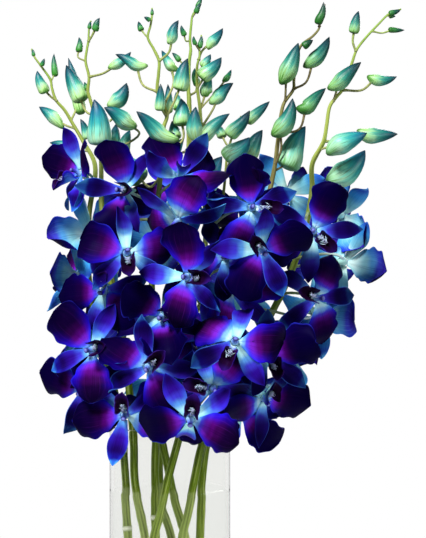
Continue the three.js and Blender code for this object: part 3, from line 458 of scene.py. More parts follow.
LOOKS = {
    # Blades: middle and margin colours, rim colour and share, vein share and colour, the dark colour of veins and of
    # the painted shade, and where given the painted shade's strength and the stray
    blade_material: {
        "petal": (PETAL_FRONT, PETAL_MARGIN, "#3038e0", 0.45, (0.14, "#7a2cc0"), "#04002c", 0.9),
        "petal_back": (PETAL_BACK, PETAL_BACK_MARGIN, "#4c84ea", 0.5, (0.3, "#a0d4f0"), "#10165c", 0.45),
        "petal_rim": (PETAL_MARGIN, PETAL_MARGIN, "#3444e6", 0.5, (0.1, "#7a2cc0"), "#08021e"),
        "sepal": (SEPAL_FRONT, SEPAL_MARGIN, "#4a7cec", 0.6, (0.2, "#5a3cd0"), "#07022c", 0.85, 0.5),
        "sepal_back": (SEPAL_BACK, SEPAL_BACK, "#80c4f4", 0.6, (0.3, "#b8e4ee"), "#184890", 0.4),
        "sepal_rim": (SEPAL_MARGIN, SEPAL_MARGIN, "#4a7cec", 0.7, (0.1, "#5a3cd0"), "#07022c", 0.85, 0.5),
        "lip": (LIP_FRONT, LIP_FRONT, "#5a34c0", 0.6, (0.3, "#6a1c70"), "#100318"),
        "lip_back": (PETAL_BACK, PETAL_MARGIN, "#5a34c0", 0.5, (0.3, "#8ab4e8"), "#180a50"),
        "lip_rim": (LIP_FRONT, PETAL_MARGIN, "#5a34c0", 0.6, (0.1, "#6a1c70"), "#100318"),
    },
    plain_material: {
        "column": (COLUMN_BLUE, 0.1),
        "chin": (CHIN_GREEN, 0.1),
        "hairs": (HAIR_BLUE, 0.1),
        "pedicel": (PEDICEL, 0.2, 0.5, (8, 2)),
        "sheath": (SHEATH, 0.3, 0.6, (6, 3)),
    },
    bud_material: {"bud": (BUD,), "old_bud": (OLD_BUD,), "young_bud": (YOUNG_BUD,)},
    stem_material: {"stalk": (STALK, "#a0b47c", "#6a5440"), "stem": (STEM_WITH_PAINTED_SHADE, "#b0bc84", "#746442")},
    clear_material: {"glass": ((0.915, 0.919, 0.904, 1), 1.13), "water": ((0.975, 0.98, 0.976, 1), 1.03)},
}
MATERIALS = {name: make(name, *looks) for make, group in LOOKS.items() for name, looks in group.items()}


# Blooms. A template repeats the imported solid's points, to find where each bloom stands; see fit_blooms.
HUB_RADIUS = 3.2
BLADE_THICKNESS = 0.8
HUB_HALF_DEPTH = 0.9
COLUMN_TIP = np.array([0, 1.5, 9.0])
CHIN_TIP = np.array([0, -5.0, -9.0])


def hold(lift, curl, fold, twist):
    """How a blade is held: its lift at the root, its curl and its twist to the tip in degrees, and its fold."""
    return {"lift": lift, "curl": curl, "fold": fold, "twist": twist}


KINDS = {
    "open": {
        "petal": hold(14, -22, -0.1, 8),
        "dorsal": hold(-4, -12, 0.16, 6),
        "lateral": hold(-8, -16, 0.14, -8),
        "lip": hold(62, -42, 0.5, 0),
    },
    "cupped": {
        "petal": hold(26, 10, 0.1, -4),
        "dorsal": hold(14, 14, 0.18, -5),
        "lateral": hold(4, 12, 0.18, -4),
        "lip": hold(68, -30, 0.55, 0),
    },
    "swept": {
        "petal": hold(6, -46, -0.16, -14),
        "dorsal": hold(-16, -26, 0.12, -10),
        "lateral": hold(-20, -24, 0.12, 12),
        "lip": hold(54, -50, 0.45, 0),
    },
}
PETAL = {"part": "petal", "length": 34, "width": 31, "stations": [(0.3, 0.64), (0.6, 1), (0.87, 0.7)], "ribbed": True}
SEPAL = {"length": 33, "width": 15, "stations": [(0.34, 0.7), (0.66, 0.88)], "ribbed": False}
LIP = {"part": "lip", "length": 23, "width": 15, "stations": [(0.24, 0.2), (0.54, 1)], "ribbed": True}
ORGANS = [
    {"angle": 18, "side": 1, **PETAL},
    {"angle": 90, "side": 1, "part": "dorsal", **SEPAL},
    {"angle": 162, "side": -1, **PETAL},
    {"angle": 227, "side": -1, "part": "lateral", **SEPAL},
    {"angle": 270, "side": 1, **LIP},
    {"angle": 313, "side": 1, "part": "lateral", **SEPAL},
]

# How far off in mm a fitted point may be, and how far a point's distance from the middle is from all the others'
# where it can't be taken for another
FIT_LIMIT = 0.1
LONE_GAP = 0.02


def blade_frames(organ, held, t):
    """The rib's points, the ways across and the ways out of the face, at shares t of the length."""
    t = np.atleast_1d(np.asarray(t, float))
    angle, lift, curl = (math.radians(v) for v in (organ["angle"], held["lift"], held["curl"]))
    out = np.array([math.cos(angle), math.sin(angle), 0])
    bend = lift + curl * t
    run = organ["length"] * (np.sin(bend) - math.sin(lift)) / curl
    rise = -organ["length"] * (np.cos(bend) - math.cos(lift)) / curl
    rib = HUB_RADIUS * out + out * run[:, None] + FORWARD * rise[:, None]
    along = out * np.cos(bend)[:, None] + FORWARD * np.sin(bend)[:, None]
    face = -out * np.sin(bend)[:, None] + FORWARD * np.cos(bend)[:, None]
    across = np.broadcast_to([-math.sin(angle), math.cos(angle), 0], rib.shape)
    turn = np.radians(held["twist"]) * organ["side"] * t
    return rib, turned(across, along, turn), turned(face, along, turn)


def template(kind):
    """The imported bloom's points, in its own frame."""
    points = []

    def pair(middle, way, away):
        points.extend([middle + way * away, middle - way * away])

    def hub_pair(degrees):
        angle = math.radians(degrees)
        pair(HUB_RADIUS * np.array([math.cos(angle), math.sin(angle), 0]), FORWARD, HUB_HALF_DEPTH)

    for i, organ in enumerate(ORGANS):
        after = ORGANS[(i + 1) % len(ORGANS)]["angle"] + (360 if i + 1 == len(ORGANS) else 0)
        hub_pair((organ["angle"] + after) / 2)
        held = KINDS[kind][organ["part"]]
        if organ["ribbed"]:
            hub_pair(organ["angle"])
        for t, share in organ["stations"]:
            rib, across, face = (v[0] for v in blade_frames(organ, held, t))
            wide = organ["width"] / 2 * share
            for s in (-1, 0, 1) if organ["ribbed"] else (-1, 1):
                pair(rib + across * s * wide + face * s * s * held["fold"] * wide, face, BLADE_THICKNESS / 2)
        rib, _, face = (v[0] for v in blade_frames(organ, held, 1))
        pair(rib, face, BLADE_THICKNESS / 2)
    return np.array(points + [COLUMN_TIP, CHIN_TIP])


def node_points(name):
    """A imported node's separate points, in mm."""
    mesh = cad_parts[name].data
    points = np.zeros(len(mesh.vertices) * 3, np.float32)
    mesh.vertices.foreach_get("co", points)
    return np.unique(np.round(points.reshape(-1, 3).astype(float) / MM, 3), axis=0)


def fit(points, cloud):
    """The turn and place that bring a template onto a node: the points whose distance from the middle no other
    has are matched first, and the two sets then laid on each other."""
    middle, goal = points.mean(0), cloud.mean(0)
    far, wanted = norm(points - middle, axis=1), norm(cloud - goal, axis=1)
    apart = np.abs(far[:, None] - far[None])
    np.fill_diagonal(apart, np.inf)
    lone = np.where(apart.min(1) > LONE_GAP)[0]
    match = np.abs(far[lone][:, None] - wanted[None]).argmin(1)
    a, b = points[lone] - points[lone].mean(0), cloud[match] - cloud[match].mean(0)
    u, _, v = np.linalg.svd(a.T @ b)
    turn = v.T @ np.diag([1, 1, np.sign(np.linalg.det(v.T @ u.T))]) @ u.T
    place = cloud[match].mean(0) - turn @ points[lone].mean(0)
    return nearest(points @ turn.T + place, cloud).max(), turn, place


def fit_blooms():
    shapes = {kind: template(kind) for kind in KINDS}
    found = {}
    for name in sorted(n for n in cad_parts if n.startswith("bloom")):
        cloud = node_points(name)
        tries = [(*fit(points, cloud), kind) for kind, points in shapes.items()]
        off, turn, place, kind = min(tries, key=lambda tried: tried[0])
        if off > FIT_LIMIT:
            raise RuntimeError(f"{name} doesn't match a kind of bloom: {off:.2f} mm")
        found[name] = {"turn": turn, "place": place, "kind": kind}
    return found


# Blades in detail: the outline, as shares of the half width at shares of the length; the grid's rows and columns; how
# much longer and broader than its solid a blade is; its skew; how often it is turned over, by about how many degrees;
# and how many mm its tip droops
BLADES = {
    "petal": {
        "outline": (
            [0, 0.08, 0.18, 0.3, 0.44, 0.58, 0.72, 0.84, 0.93, 1],
            [0.14, 0.24, 0.46, 0.72, 0.9, 1, 0.98, 0.82, 0.52, 0.06],
        ),
        "grid": (25, 21), "size": (1.1, 1.12), "skew": 0.13, "turned": (0.2, 50), "droop": (0.5, 5), "skin": "petal",
    },
    "dorsal": {
        "outline": ([0, 0.15, 0.34, 0.5, 0.66, 0.82, 0.93, 1], [0.34, 0.5, 0.76, 0.94, 0.93, 0.64, 0.3, 0.03]),
        "grid": (21, 11), "size": (1.08, 1.05), "skew": 0.05, "turned": (0.35, 80), "droop": (-1.5, 4), "skin": "sepal",
    },
    "lip": {
        "outline": (
            [0, 0.1, 0.22, 0.34, 0.44, 0.54, 0.66, 0.8, 0.92, 1],
            [0.3, 0.3, 0.5, 0.86, 1, 0.9, 0.7, 0.72, 0.5, 0.06],
        ),
        "grid": (21, 17), "size": (1, 1), "skew": 0.05, "skin": "lip",
    },
}
BLADES["lateral"] = BLADES["dorsal"]

# How the rows crowd toward the tip, and how far round a sine the columns reach
TIP_CROWDING = 1.25
MARGIN_CROWDING = np.pi / 2 * 0.92

# How far blades stray from their kind: spreads in degrees and of the fold, and a lip's share of them
STRAY = {"angle": 6, "lift": 10, "curl": 22, "twist": 20, "fold": 0.11}
LIP_STRAY = 0.4

# How far in mm a blade stays from every column's axis, and how many shapes are tried for that
CLEARANCE = 2.8
TRIES = 12


def groove(s, width, depth):
    return depth * np.exp(-((s / width) ** 2))


def organ_shape(organ, held, draw):
    """A petal's, sepal's or lip's points: a blade with its own small turns, arched across, with wavy margins."""
    part, blade = organ["part"], BLADES[organ["part"]]
    rows, columns = blade["grid"]
    t = 1 - (1 - np.linspace(0, 1, rows)) ** TIP_CROWDING
    s = np.sin(np.linspace(-1, 1, columns) * MARGIN_CROWDING) / math.sin(MARGIN_CROWDING)
    calm = LIP_STRAY if part == "lip" else 1.0
    held = {key: value + draw.normal(0, STRAY[key] * calm) for key, value in held.items()}
    held["curl"] = held["curl"] if abs(held["curl"]) > 1 else 1.0
    if "turned" in blade and draw.uniform() < blade["turned"][0]:
        held["twist"] += blade["turned"][1] * draw.choice([-1, 1]) * draw.uniform(0.6, 1.2)
    long, broad = blade["size"]
    organ = {**organ, "angle": organ["angle"] + draw.normal(0, STRAY["angle"]), "length": organ["length"] * long}
    rib, across, face = blade_frames(organ, held, t)

    # The half widths, arched across
    s, t = np.meshgrid(s, t)
    skew = draw.normal(0, blade["skew"])
    half = organ["width"] / 2 * broad * draw.normal(1, 0.03)
    left, right = (half * hermite(*blade["outline"], t[:, 0] ** math.exp(k)) for k in (skew, -skew))
    wide = np.where(s < 0, left[:, None], right[:, None])
    waves, phase = draw.uniform(1.2, 2.4), draw.uniform(0, 2 * np.pi, 4)
    edge = np.abs(s) ** 3 * smooth(0.15, 0.5, t)
    side = np.where(s > 0, phase[0], phase[1])
    arches = draw.uniform(0.35, 1.15, 2) * (-1 if draw.uniform() < 0.8 else 0.8)
    if part != "petal":
        arches = draw.uniform(0.1, 0.7, 2)
    arch = np.where(s < 0, arches[0], arches[1]) * smooth(0.0, 0.55, t) + 1e-4
    width = wide * np.sin(s * arch) / arch
    height = wide * (1 - np.cos(s * arch)) / arch + held["fold"] * s**2 * wide

    # Its relief, in mm
    if part == "petal":
        height += draw.uniform(0.5, 1.4) * edge * np.sin(2 * np.pi * waves * t + side)
        height += 0.9 * np.sin(2.6 * s + phase[2]) * np.sin(3.0 * t) * smooth(0.1, 0.4, t)
        height -= groove(s, 0.07, 0.5) * (1 - t)
        height -= draw.uniform(*blade["droop"]) * smooth(0.6, 1.0, t) ** 1.5
        width *= 1 - 0.07 * edge * (1 + np.sin(2 * np.pi * waves * 1.7 * t + side))
    elif part == "lip":
        lobes = smooth(0.1, 0.3, t) * (1 - smooth(0.5, 0.64, t))
        height += (0.45 * lobes + 0.1) * s**2 * wide
        width *= 1 - 0.3 * lobes * np.abs(s)
        height += 0.8 * edge * np.sin(2 * np.pi * 3.4 * t + phase[0]) * smooth(0.6, 0.8, t)
        height += 0.25 * (np.cos(s * 12) - 1) * (1 - smooth(0.5, 0.7, t))
    else:
        height -= groove(s, 0.1, 0.4) * (1 - t)
        height += 0.6 * edge * np.sin(2 * np.pi * waves * t + side)
        height -= draw.uniform(*blade["droop"]) * smooth(0.55, 1.0, t) ** 1.5
    return rib[:, None] + across[:, None] * width[..., None] + face[:, None] * height[..., None], s, t


def add_organ(build, organ, held, columns, draw):
    """One blade: the first of its shapes that stays clear of the columns, or the one that stays clearest."""
    tries = []
    for _ in range(TRIES):
        shape = organ_shape(organ, held, draw)
        tries.append((nearest(columns, shape[0].reshape(-1, 3)).min(), shape))
        if tries[-1][0] > CLEARANCE:
            break
    points, s, t = max(tries, key=lambda tried: tried[0])[1]
    thickness = (0.28 + 0.5 * (1 - s**2) * (1 - 0.6 * t)) * (1 - 0.5 * smooth(0.85, 1.0, t))
    uv = np.stack([(s + 1) / 2, t], -1)
    build.add_shell(points, thickness, uv, BLADES[organ["part"]]["skin"], (build.mood, draw.uniform()))
    return points


# The crest's hairs: how many, where on the lip, and their lengths and radii in mm
HAIRS = 60
HAIR_ROWS = (0.12, 0.42)
HAIR_SPREAD = 0.09
HAIR_LENGTHS = (4.5, 8.0)
HAIR_RADII = [0.3, 0.28, 0.08]


def add_hairs(build, points, draw):
    """The crest: thin hairs that stand on the lip's middle, before the column."""
    rows, columns = points.shape[:2]
    normals = surface_normals(points)
    down = unit(points[rows // 2, columns // 2] - points[2, columns // 2])
    for _ in range(HAIRS):
        i = int(draw.uniform(*HAIR_ROWS) * rows)
        j = min(max(int((0.5 + draw.normal(0, HAIR_SPREAD)) * columns), 0), columns - 1)
        root = points[i, j]
        way = unit(0.6 * normals[i, j] + 0.5 * FORWARD + 0.7 * down + draw.normal(0, 0.12, 3))
        tip = root + way * draw.uniform(*HAIR_LENGTHS)
        middle = (root + tip) / 2 + draw.normal(0, 0.2, 3)
        build.add_tube([root - way * 0.3, middle, tip], HAIR_RADII, 4, "hairs", (build.mood, draw.uniform()))


# The column and the chin: bars with a radius in mm at each point
HEIGHTS = np.array([-0.5, 0.8, 2.4, 4.2, 6.0, 7.4, 8.4, 9.0])
COLUMN_BEND = COLUMN_TIP[1] * (np.maximum(HEIGHTS, 0) / COLUMN_TIP[2]) ** 1.6
COLUMN_BEND = COLUMN_BEND + 0.9 * np.sin(np.clip(HEIGHTS / COLUMN_TIP[2], 0, 1) * np.pi)
COLUMN = np.stack([np.zeros(8), COLUMN_BEND, HEIGHTS], -1)
COLUMN_RADII = [3.3, 2.8, 2.1, 1.8, 1.9, 2.1, 1.7, 0.6]
CHIN_ROOT = np.array([0, 0, -0.6])
CHIN_BEND = np.array([0, 1.6, 0])
CHIN_SHARES = np.linspace(0, 1, 8)[:, None]
CHIN = CHIN_ROOT + (CHIN_TIP - CHIN_ROOT) * CHIN_SHARES + CHIN_BEND * np.sin(CHIN_SHARES * np.pi)
CHIN_RADII = [3.5, 3.7, 3.7, 3.4, 2.9, 2.3, 1.6, 0.5]

# What the seeds are counted from
BLOOM_SEED = 900
SPRAY_SEED = 40
CREST_SEED = 1700


def make_bloom(name, number, pose, blooms):
    draw = np.random.default_rng(BLOOM_SEED + number)
    build = Builder(draw.uniform())
    others = [COLUMN[3:] @ other["turn"].T + other["place"] for other in blooms.values()]
    columns = (np.concatenate(others) - pose["place"]) @ pose["turn"]
    for organ in ORGANS:
        points = add_organ(build, organ, KINDS[pose["kind"]][organ["part"]], columns, draw)
        if organ["part"] == "lip":
            add_hairs(build, points, np.random.default_rng(CREST_SEED + number))
    build.add_tube(COLUMN, COLUMN_RADII, 12, "column", (build.mood, 0.5), flat=0.8)
    build.add_tube(CHIN, CHIN_RADII, 14, "chin", (build.mood, 0.5), flat=0.85)
    build.place(pose["turn"], pose["place"])
    piece = build.object(name.replace("bloom", "orchid"))
    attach(piece, "root")
    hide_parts(name)


# Sprays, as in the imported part. Each is its stem, in spots of "x y depth" from its cut end to its last bud, with the
# depth only where it changes, and its buds, one to a line: its width, where its stalk leaves the stem, its elbow and
# its tip, and its spur, its stalk's bend ("via") or its own depth where it has one.
SPRAYS = {
    "spray_a": ("""
    138 661 2, 129.5 538 6, 124 460 8, 121 425, 113 385, 98 330 6, 88 270 4, 89 215 6, 95 165 10, 83.5 142, 73 124,
    64.5 110, 56 100, 52 88, 50.5 80, 41 66, 34 56, 31.6 48.8
    """, """
    4, 41 66, 42 65, 44.5 58.5
    6, 52 82, 55 74, 54 53.7
    10, 57.5 101.7, 44.2 91, 37.2 70.9
    11, 73.6 130.5, 56 117, 39.1 106.8, spur 63.2 128.2
    11, 72 119.5, 80 108, 68.4 58, depth 8
    8, 84 143, 87.3 136.6, 80.4 119, depth -2
    11, 88 152, 74.3 150.4, 49.8 142.7, depth 4
    """),
    "spray_b": ("""
    160 659 -18, 145.6 538 -16, 135 481 -15, 134 445 -14, 132 420, 127 370, 117 310, 108 260 -16, 102 212 -20,
    101 157 -22, 99 130, 90.2 99.6, 88 91, 89 77, 85.6 61, 87 49, 88.4 41.4, 89.1 28.8, 90.9 20.7
    """, """
    6.5, 88.7 41.4, 95.1 29.5, 99.6 17.9
    6.3, 85.6 61.7, 79.3 50.5, 78.9 37.2, via 78 57
    9, 89.5 77.5, 114.5 68, 131 52, via 104 73, spur 108.7 67.7
    4, 88 93, 86.5 89, 84.2 82
    16, 95 115, 80.3 97.5, 66.3 65.2, via 86.6 112, depth 8
    21, 101 157, 100 139.7, 94.2 99.5, depth -12
    15, 101 157, 127.1 126.7, 104.2 107.5, via 139.4 133.6, spur 136 126, depth -14
    14, 99 130, 120 106, 126.7 83, via 116 114, spur 107.6 105.2, depth -4
    12, 101 160, 113 146, 116 124, depth 7
    12, 101 165, 122 152, 130 130, depth 3
    """),
    "spray_c": ("""
    196 660 -10, 185 538 -8, 175 502 -7, 167.5 466 -6, 161 436 -4, 158 400 -6, 153 340 -14, 152 280 -24, 156 220 -36,
    161 170 -48, 163.5 128 -52, 167 115, 157.5 91.8, 158.6 73.5, 159 61.2, 153.7 49, 147.9 37.5, 150.6 25.2, 152.1 15,
    152.1 8
    """, """
    4, 151 20.3, 149.5 20, 144 17
    5.5, 147.9 37.5, 141.2 29.8, 138.4 21.4
    10, 158.8 60.4, 172.8 41.5, 178.5 20.3, via 169 52, spur 168 43
    10, 157 92.6, 135.3 72.3, 115.5 54.3, via 143 85, spur 147.2 65
    9, 163 105, 169.5 72.5, 161.7 50.5, via 173.6 83, spur 178 69, depth 10
    9, 166 117, 159.8 108, 160.6 83.8, depth -5
    8.5, 166.5 116, 168.3 110, 167.9 84.2, depth 7
    14, 167 116, 180.4 87.2, 187.7 58.5, via 174 102, depth -3
    15, 162 155, 181.6 122.8, 180.9 98.4, via 182.8 139.7, depth 3
    14, 162 162, 191 132, 195.8 106.8, via 192 147, spur 198 143, depth -8
    12, 163 142, 175 137, 172 121, depth 9
    15, 162 166, 156 143, 136.5 111.4, via 166.7 158, spur 178 139, depth -13
    12, 161 170, 171 161, 184 138, depth 10
    20, 160 178, 139 178, 122 157, via 150 187, depth 12
    """),
    "spray_d": ("""
    157 662 12, 156.3 538 14, 155.3 450 16, 160 410, 170 350 14, 180 280 12, 186 220 10, 189 150 8, 189.2 101.8,
    188.5 90, 188.9 75, 189.5 60, 190.8 49.7, 190 40.6, 191.2 25.2, 192.7 15.3, 197.3 8, 202 -3
    """, """
    5, 190 41, 184.3 34.8, 181.2 25.2, via 186 41
    5, 189.5 63, 179.3 60, 172 52.8, via 183.5 64
    5, 192 17, 196 12, 201 3
    7, 189 96, 197 84, 195 68, via 196 91, depth 8
    9, 189 120, 178 108, 176 92, via 181 116, depth 8
    """),
    "spray_e": ("""
    136 659 -28, 154 538 -27, 160 515 -26, 168.6 477 -25, 179 438 -24, 189 400, 199 340 -22, 205 280, 205 220,
    203 160, 200 109 -24, 197.3 88, 197 76, 197.3 65, 199.4 57, 199.6 48, 201.5 35
    """, """
    4, 199.5 50, 195 44, 193.8 36
    9.5, 198.5 59.7, 208.8 43, 222.9 28.3, via 201.9 51.3, spur 208.5 49
    8, 197.3 72, 203.4 65.8, 210.7 54.3
    14, 197.3 88, 203 76.5, 221.4 57.4, depth -4
    11, 200 109.4, 201.9 97, 211 76, spur 208 95.6, depth 4
    12, 201 125, 217.6 100.2, 233.2 83, via 213.3 108.6, spur 210 103
    5.5, 200 112, 226 81.9, 231.3 69.6, via 214 94, spur 222.5 81, depth 9
    13, 203 150, 203 136.6, 229.5 113.7, depth -4
    20, 204 195, 204 188, 222 156.5, depth -9
    """),
    "spray_f": ("""
    173 659 -16, 182 538 -18, 188 512, 201 448 -16, 210 420, 228 370 -14, 246 310 -12, 260 240 -14, 270 190 -18,
    275 165 -20, 281 115, 284 103.3, 293.5 89, 294 79.4, 300.2 47, 313.6 35.4, 319.3 27.8, 320 17, 325 4.3
    """, """
    7, 308 40, 304 46, 313 40, depth -3
    7.4, 319 27, 318.6 22, 323.6 2, depth -3
    16, 284 102, 286.8 79, 298.3 43, spur 281 83, depth -6
    13, 294 88.5, 314.5 66, 329.4 36.8, via 306 82.3, spur 304 66
    16, 275 164.7, 283 138, 292.6 98.4, via 281 150, spur 272 134, depth -10
    13, 279 132, 306.3 118.3, 325.7 88.2, via 299.2 129, spur 297 107
    22, 274 172, 288 164, 305.3 126.4, depth 4
    """),
    "spray_g": ("""
    197 662 8, 199 538 7, 202 481 6, 207 443, 216 412, 240 370, 268 320 4, 292 270 0, 306 225 -14, 312 190 -30,
    312.4 163.7 -44, 323.7 141.2 -50, 326.7 125, 330 106, 336.6 96.7, 342.3 90, 351.9 63.2, 356.7 49.8, 365.3 38.3,
    378.7 23.9, 389 14, 401.1 9.1
    """, """
    3.5, 388 15, 390 16.5, 395.5 16.5, depth 3
    5, 372 31.1, 390.1 29.9, 404.5 30.1, via 382 33
    9.5, 356 51, 353.9 31, 358.6 11, via 352.8 42
    14, 333 101, 339 88, 361 62.2, spur 328.4 88, depth -7
    10, 342.3 90, 371.5 84, 396.8 76.6, via 362 90, spur 368 76
    18, 312 163, 333 144, 367 133, via 320 150, spur 328 154, depth -7
    14, 324 141, 363.5 141.2, 397.7 134, spur 358.4 130, depth 9
    22, 312 190, 340 184, 365 150.4, spur 327 180, depth 0
    """),
    "spray_h": ("""
    182 662 26, 171 536 28, 161.4 502 29, 160 440 30, 166 400 32, 186 340 34, 208 280 36, 220 220 38, 225 180,
    228 150, 235 130, 241 116
    """, """
    13, 228 150, 231 134, 249.7 110.6, depth -6
    10, 237 126, 249 120, 269.6 101.4
    18, 226 172, 229 157, 249.4 137.4, depth -16
    15, 226 175, 249 155, 262.4 130, via 241 171.8, depth -4
    9, 229 148, 222 136, 218 122, depth 8
    """),
}


def numbers(text):
    return [float(number) for number in text.split()]


def read_bud(line):
    """A bud's width, the spots of its root, elbow and tip, and what else it has, by name."""
    width, root, elbow, tip, *own = line.split(",")
    named = (part.split(maxsplit=1) for part in own)
    return float(width), numbers(root), numbers(elbow), numbers(tip), {key: numbers(text) for key, text in named}


# A stem's radii at shares of its length, the stalks' radii, and where and which way a stalk meets its bloom
STEM_RADII = ([0, 0.25, 0.55, 1], [3.3, 3.0, 1.45, 0.66])
STALK_RADIUS = 1.3
BUD_STALK_RADIUS = 1.1
SEAT = np.array([0, 0.45, -4.3])
SEAT_WAY = np.array([0, 0.703, -0.711])

# How far apart in mm the places are where a bloom's stalk may leave a stem
ROOT_SPACING = 12


def stem_points(stem):
    points = []
    for place in stem.split(","):
        x, y, *own = numbers(place)
        depth = own[0] if own else depth
        points.append(spot((x, y), depth))
    points[0][2] = STEM_FOOT
    return np.array(points)


def places_along(points):
    places = []
    for a, b in zip(points, points[1:]):
        count = math.ceil(norm(b - a) / ROOT_SPACING)
        places += [a + (b - a) * k / count for k in range(count)]
    return places + [points[-1]]


def stalk_curve(root, pose):
    seat = pose["turn"] @ SEAT + pose["place"]
    way = pose["turn"] @ SEAT_WAY
    reach = norm(root - seat)
    leave = unit(seat - root + UP * reach * 0.35)
    return root, root + leave * reach * 0.33, seat + way * reach * 0.3, seat


def find_stalks(blooms, stems):
    """Which spray carries each bloom, and by which stalk: the one whose middle ring is among the spray's points."""
    clouds = {name: node_points(name) for name in stems}
    roots = [(name, place) for name, points in stems.items() for place in places_along(points)]
    stalks = {name: [] for name in stems}
    for pose in blooms.values():

        def off(root):
            middle = bezier(stalk_curve(root[1], pose), [0.5])
            rings = np.abs(norm(clouds[root[0]] - middle, axis=1) - STALK_RADIUS)
            return np.sort(rings)[:3].max()

        name, root = min(roots, key=off)
        stalks[name].append(stalk_curve(root, pose))
    return stalks


def nearest_on_stem(points, start):
    tries = [a + (b - a) * k / 8 for a, b in zip(points, points[1:]) for k in range(9)]
    return min(tries, key=lambda p: norm(spot(start, p[1]) - p))


# The stems whose nodes keep a pale papery sheath, by how far up the first is; a sheath's rings, by how far from the
# node and how thick over the stem they are; and how much a node swells, and over how far
SHEATHS = {"spray_a": 45, "spray_d": 52}
SHEATHS_EACH = 3
SHEATH_RINGS = ([-2.4, -1.6, 0, 1.2, 2.0], [0, 0.22, 0.3, 0.25, 0])
NODE_SPACING = 62
SWELLING = (0.1, 2.6)

# How brown each spray's stem is above the blooms, and how dark and rich the colour of its buds
TONES = dict(zip(SPRAYS, [0.15, 0.2, 0.25, 0.1, 0.2, 0.95, 0.05, 0.3]))
RICHNESS = dict(zip(SPRAYS, [0.1, 0.25, 0.35, 0.4, 0.35, 1, 0.75, 0.45]))

# Stalks of blooms and of buds: the radius or its share at shares of the length, and how far one is sunk
PEDICEL_RADII = ([0, 0.1, 0.5, 1], [1.8, 1.2, 1.05, 1.4])
PEDICEL_SUNK = 1.2
BUD_STALK_SHARES = ([0, 0.15, 0.6, 1], [1.35, 0.86, 0.8, 1.0])

# Buds: the widths that tell young and old ones, how much fuller than its solid one is, its rings, their sides, and
# its profile, blunt or spurred, as shares of the half width
YOUNG_WIDTH = 6
OLD_WIDTH = 12.5
THIN_STALK_WIDTH = 5
END_BUD = 3.8
BUD_FULLNESS = 1.12
BUD_SIDES = 18
BUD_RINGS = np.array([0, 0.02, 0.05, 0.09, 0.14, 0.2, 0.28, 0.36, 0.45, 0.55, 0.65, 0.75, 0.84, 0.91, 0.96, 1])
SEAM_START = 0.12
PROFILE_SHARES = [0, 0.04, 0.1, 0.2, 0.36, 0.55, 0.75, 0.9, 1]
BLUNT = [0.5, 0.82, 0.97, 1.04, 1.0, 0.86, 0.6, 0.3, 0.04]
SPURRED = [0.14, 0.38, 0.6, 0.88, 1.06, 0.9, 0.62, 0.32, 0.04]
DEPTH_AWAY = 3.5


def add_stem(build, name, points, tone, draw):
    """The stem: swollen at its nodes, thinning to the tip, with sheaths at the lower nodes of some."""
    path, where, own = smooth_path(points, 9)
    radii = np.interp(np.interp(where, own, np.linspace(0, 1, len(points))), *STEM_RADII)
    far = running(steps_of(path))
    start = draw.uniform(20, 60)
    nodes = np.arange(SHEATHS.get(name, start), far[-1], NODE_SPACING)
    swelling, reach = SWELLING
    for node in nodes:
        radii = radii * (1 + swelling * np.exp(-(((far - node) / reach) ** 2)))
    build.add_tube(path, radii, 14, "stem", (draw.uniform(), tone))
    for node in nodes[:SHEATHS_EACH] if name in SHEATHS else []:
        rings = node + np.array(SHEATH_RINGS[0])
        sleeve = np.stack([np.interp(rings, far, path[:, axis]) for axis in range(3)], -1)
        build.add_tube(sleeve, np.interp(rings, far, radii) + SHEATH_RINGS[1], 16, "sheath")


def add_bud(build, elbow, tip, spur, width, richness, draw):
    """A bud: three sepals folded to a bent point over a rounded or spurred chin."""
    length = norm(tip - elbow)
    chin = elbow + (tip - elbow) * -0.08 if spur is None else spur
    root = elbow + (chin - elbow) * 0.4
    way = unit(tip - root)
    start = chin - way * 0.04 * length
    hook = np.cross(way, [0, 1.0, 0]) * draw.uniform(-0.07, 0.07) * length
    spine = [start, root + (tip - root) * 0.16 + (start - root) * 0.18, root + (tip - root) * 0.42 + hook]
    spine += [root + (tip - root) * 0.72 + hook, tip]
    centres = hermite([0, 0.24, 0.5, 0.75, 1], spine, BUD_RINGS)
    shape = hermite(PROFILE_SHARES, BLUNT if spur is None else SPURRED, BUD_RINGS)
    along = unit(np.gradient(centres, axis=0))
    side = np.array([0, 1.0, 0]) if abs(way[1]) < 0.8 else np.array([1.0, 0, 0])
    across = unit(side - along * (along @ side)[:, None])
    angle = circle(BUD_SIDES) + draw.uniform(0, 2)
    seams = 1 - groove(np.abs(np.sin(1.5 * angle)), 0.28, 0.1)
    radii = BUD_FULLNESS * width / 2 * shape[:, None] * np.where(BUD_RINGS[:, None] > SEAM_START, seams[None], 1)
    dent = centres[0] + along[0] * (0.07 * length if spur is None else 0)
    kind = "young_bud" if width < YOUNG_WIDTH else "old_bud" if width > OLD_WIDTH else "bud"
    tint = (draw.uniform(), richness * draw.uniform(0.6, 1.0))
    rings = rings_about(centres, across, np.cross(along, across), angle, radii)
    build.add_rings(rings, BUD_RINGS, [dent, centres[-1]], kind, tint)


